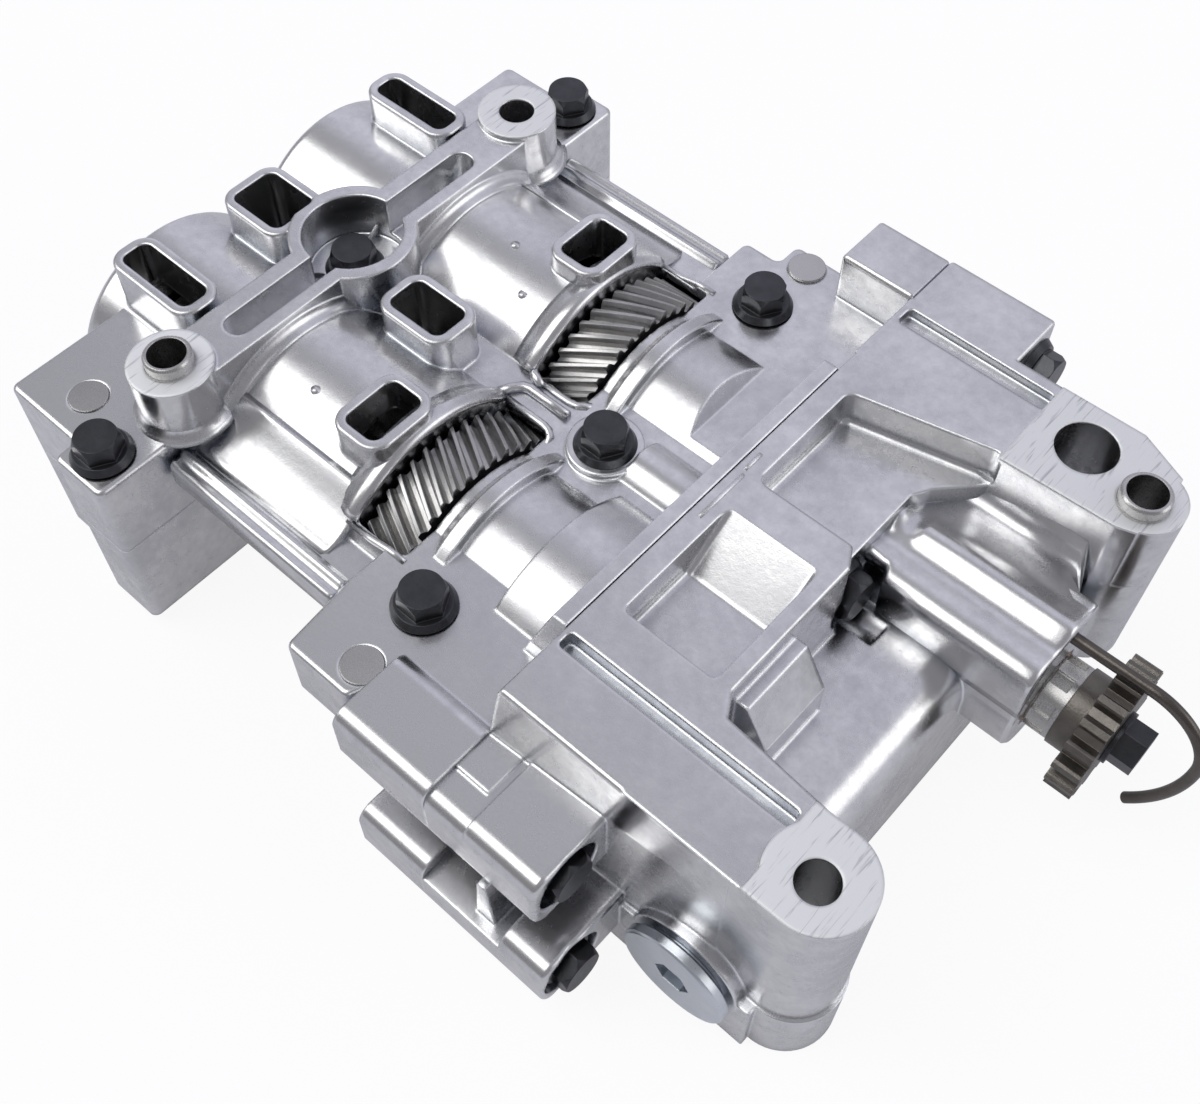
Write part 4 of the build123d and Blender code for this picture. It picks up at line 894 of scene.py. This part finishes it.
@dataclass
class Studio:
    """Pale floor, grey vault with soft boxes, and the camera of the photograph."""

    camera_mm: tuple[float, float, float] = (127.1, -155.3, 256.7)
    right: tuple[float, float, float] = (0.744277501, 0.667870096, 0.000732285)
    down: tuple[float, float, float] = (0.558476330, -0.621766527, -0.549099786)
    forward: tuple[float, float, float] = (-0.366272017, 0.409091581, -0.835756477)
    lens_mm: float = 44.87
    sensor_mm: float = 36.0
    clip_mm: float = 10.0
    floor_gap_mm: float = 0.5
    floor_half_mm: float = 4000.0
    floor_colour: str = "#C3C3CE"
    floor_rough: float = 0.8
    floor_mirror: float = 0.28
    floor_glow: float = 1.12
    floor_glow_share: float = 0.82
    sky_mirror: float = 0.2
    vault_blue: float = 1.22
    # Grey level of the vault at places of the direction's Y, and its soft boxes
    vault: tuple[tuple[float, float], ...] = (
        (-1.0, 0.05), (-0.7, 0.09), (0.02, 0.12), (0.24, 0.2), (0.46, 0.55), (0.68, 0.52), (0.9, 0.27),
    )
    boxes: tuple[SoftBox, ...] = (
        SoftBox((-0.8, 0.02), (-0.62, -0.05), (0.3, 1.2), 2.6),
        SoftBox((0.6, 1.2), (0.2, 0.7), (0.12, 0.66), 1.75),
    )

    def camera(self) -> None:
        """Stand the camera where the photograph was taken from."""
        lens = bpy.data.cameras.new("camera")
        lens.lens = self.lens_mm
        lens.sensor_width = self.sensor_mm
        lens.clip_start = self.clip_mm * MM
        eye = bpy.data.objects.new("camera", lens)
        right, down, forward = Vector(self.right), Vector(self.down), Vector(self.forward)
        turn = Matrix((right, -down, -forward)).transposed().to_4x4()
        eye.matrix_world = Matrix.Translation(Vector(self.camera_mm) * MM) @ turn
        bpy.context.collection.objects.link(eye)
        bpy.context.scene.camera = eye

    def backdrop_share(self, tree: Tree, mirror: float) -> Socket:
        """Find how much of the white background a ray sees.

        Args:
            tree: Node tree that gets the nodes.
            mirror: Share of the background that metal mirrors.

        Returns:
            A socket that is 1 for camera and transmission rays, and the given share for glossy rays.
        """
        ray = add_node(tree, "ShaderNodeLightPath")
        glossy = add_node(tree, "ShaderNodeMath", {
            0: ray.outputs["Is Glossy Ray"], 1: mirror,
        }, operation="MULTIPLY")
        clear = add_node(tree, "ShaderNodeMath", {
            0: ray.outputs["Is Camera Ray"], 1: ray.outputs["Is Transmission Ray"],
        }, operation="MAXIMUM")
        most = {0: glossy.outputs[0], 1: clear.outputs[0]}
        return add_node(tree, "ShaderNodeMath", most, operation="MAXIMUM").outputs[0]

    def floor(self) -> None:
        """Lay a white floor that keeps the shadow of the module."""
        low = CAD_BOX[0][2] - self.floor_gap_mm * MM
        body = bmesh.new()
        bmesh.ops.create_grid(body, x_segments=1, y_segments=1, size=self.floor_half_mm * MM,
                              matrix=Matrix.Translation((0.0, 0.0, low)))
        mesh = bpy.data.meshes.new("floor")
        body.to_mesh(mesh)
        body.free()
        thing = bpy.data.objects.new("floor", mesh)
        bpy.context.collection.objects.link(thing)
        material = bpy.data.materials.new("white floor")
        material.use_nodes = True
        tree = material.node_tree
        shader = tree.nodes["Principled BSDF"]
        shader.inputs["Base Color"].default_value = linear(self.floor_colour)
        shader.inputs["Roughness"].default_value = self.floor_rough
        glow = add_node(tree, "ShaderNodeEmission", {
            "Color": (1.0, 1.0, 1.0, 1.0), "Strength": self.floor_glow,
        })
        seen = self.backdrop_share(tree, self.floor_mirror)
        share = add_node(tree, "ShaderNodeMath", {0: seen, 1: self.floor_glow_share}, operation="MULTIPLY")
        mix = add_node(tree, "ShaderNodeMixShader", {
            0: share.outputs[0], 1: shader.outputs[0], 2: glow.outputs[0],
        })
        tree.links.new(mix.outputs[0], tree.nodes["Material Output"].inputs["Surface"])
        mesh.materials.append(material)

    def band(self, tree: Tree, value: Socket, low: float, high: float, soft: float) -> Socket:
        """Make a soft-edged mask over one range of a value.

        Args:
            tree: Node tree of the world.
            value: Socket that the mask reads.
            low: Middle of the rising edge.
            high: Middle of the falling edge.
            soft: Half the width of both edges.

        Returns:
            A socket that is 1 inside the range and 0 outside.
        """
        rise = add_node(tree, "ShaderNodeMapRange", {
            "Value": value, "From Min": low - soft, "From Max": low + soft,
        }, interpolation_type="SMOOTHSTEP")
        fall = add_node(tree, "ShaderNodeMapRange", {
            "Value": value, "From Min": high + soft, "From Max": high - soft,
        }, interpolation_type="SMOOTHSTEP")
        both = {0: rise.outputs[0], 1: fall.outputs[0]}
        return add_node(tree, "ShaderNodeMath", both, operation="MULTIPLY").outputs[0]

    def sky(self) -> None:
        """Set the room that the metal mirrors: a grey vault with two soft boxes.

        The brighter box stands high on the camera's left, the other one low on its right.
        """
        world = bpy.data.worlds.new("studio")
        world.use_nodes = True
        tree = world.node_tree
        tree.nodes.clear()
        where = add_node(tree, "ShaderNodeTexCoord").outputs["Generated"]
        x, y, z = add_node(tree, "ShaderNodeSeparateXYZ", {0: where}).outputs
        across = add_node(tree, "ShaderNodeMapRange", {"Value": y, "From Min": -1.0, "From Max": 1.0})
        vault = add_node(tree, "ShaderNodeValToRGB", {0: across.outputs[0]})
        ramp = vault.color_ramp
        while len(ramp.elements) < len(self.vault):
            ramp.elements.new(0.5)
        for stop, (place, level) in zip(ramp.elements, self.vault):
            stop.position = (place + 1) / 2
            stop.color = (level, level, level * self.vault_blue, 1.0)
        total = vault.outputs[0]
        for box in self.boxes:
            mask = self.band(tree, x, *box.x, box.soft)
            for axis, span in ((y, box.y), (z, box.z)):
                more = self.band(tree, axis, *span, box.soft)
                mask = add_node(tree, "ShaderNodeMath", {0: mask, 1: more}, operation="MULTIPLY").outputs[0]
            total = add_node(tree, "ShaderNodeMix", {
                0: mask, 6: total, 7: (box.level, box.level, box.level, 1.0),
            }, data_type="RGBA").outputs[2]
        soft = add_node(tree, "ShaderNodeBackground", {"Color": total, "Strength": 1.0})
        white = add_node(tree, "ShaderNodeBackground", {"Color": (1.0, 1.0, 1.0, 1.0), "Strength": 1.0})
        seen = self.backdrop_share(tree, self.sky_mirror)
        mix = add_node(tree, "ShaderNodeMixShader", {0: seen, 1: soft.outputs[0], 2: white.outputs[0]})
        out = add_node(tree, "ShaderNodeOutputWorld")
        tree.links.new(mix.outputs[0], out.inputs["Surface"])
        bpy.context.scene.world = world

    def build(self) -> None:
        """Set up the whole studio."""
        self.camera()
        self.floor()
        self.sky()
        bpy.context.scene.view_settings.view_transform = "Standard"


def main() -> None:
    """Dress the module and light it."""
    Studio().build()
    Castings().dress()
    CastDetail(FINISHES[Coat.CASTING]).build()
    TimingGears(FINISHES[Coat.GEAR_STEEL]).build()
    ReliefSpring(FINISHES[Coat.WIRE]).build()


if __name__ == "__main__":
    main()
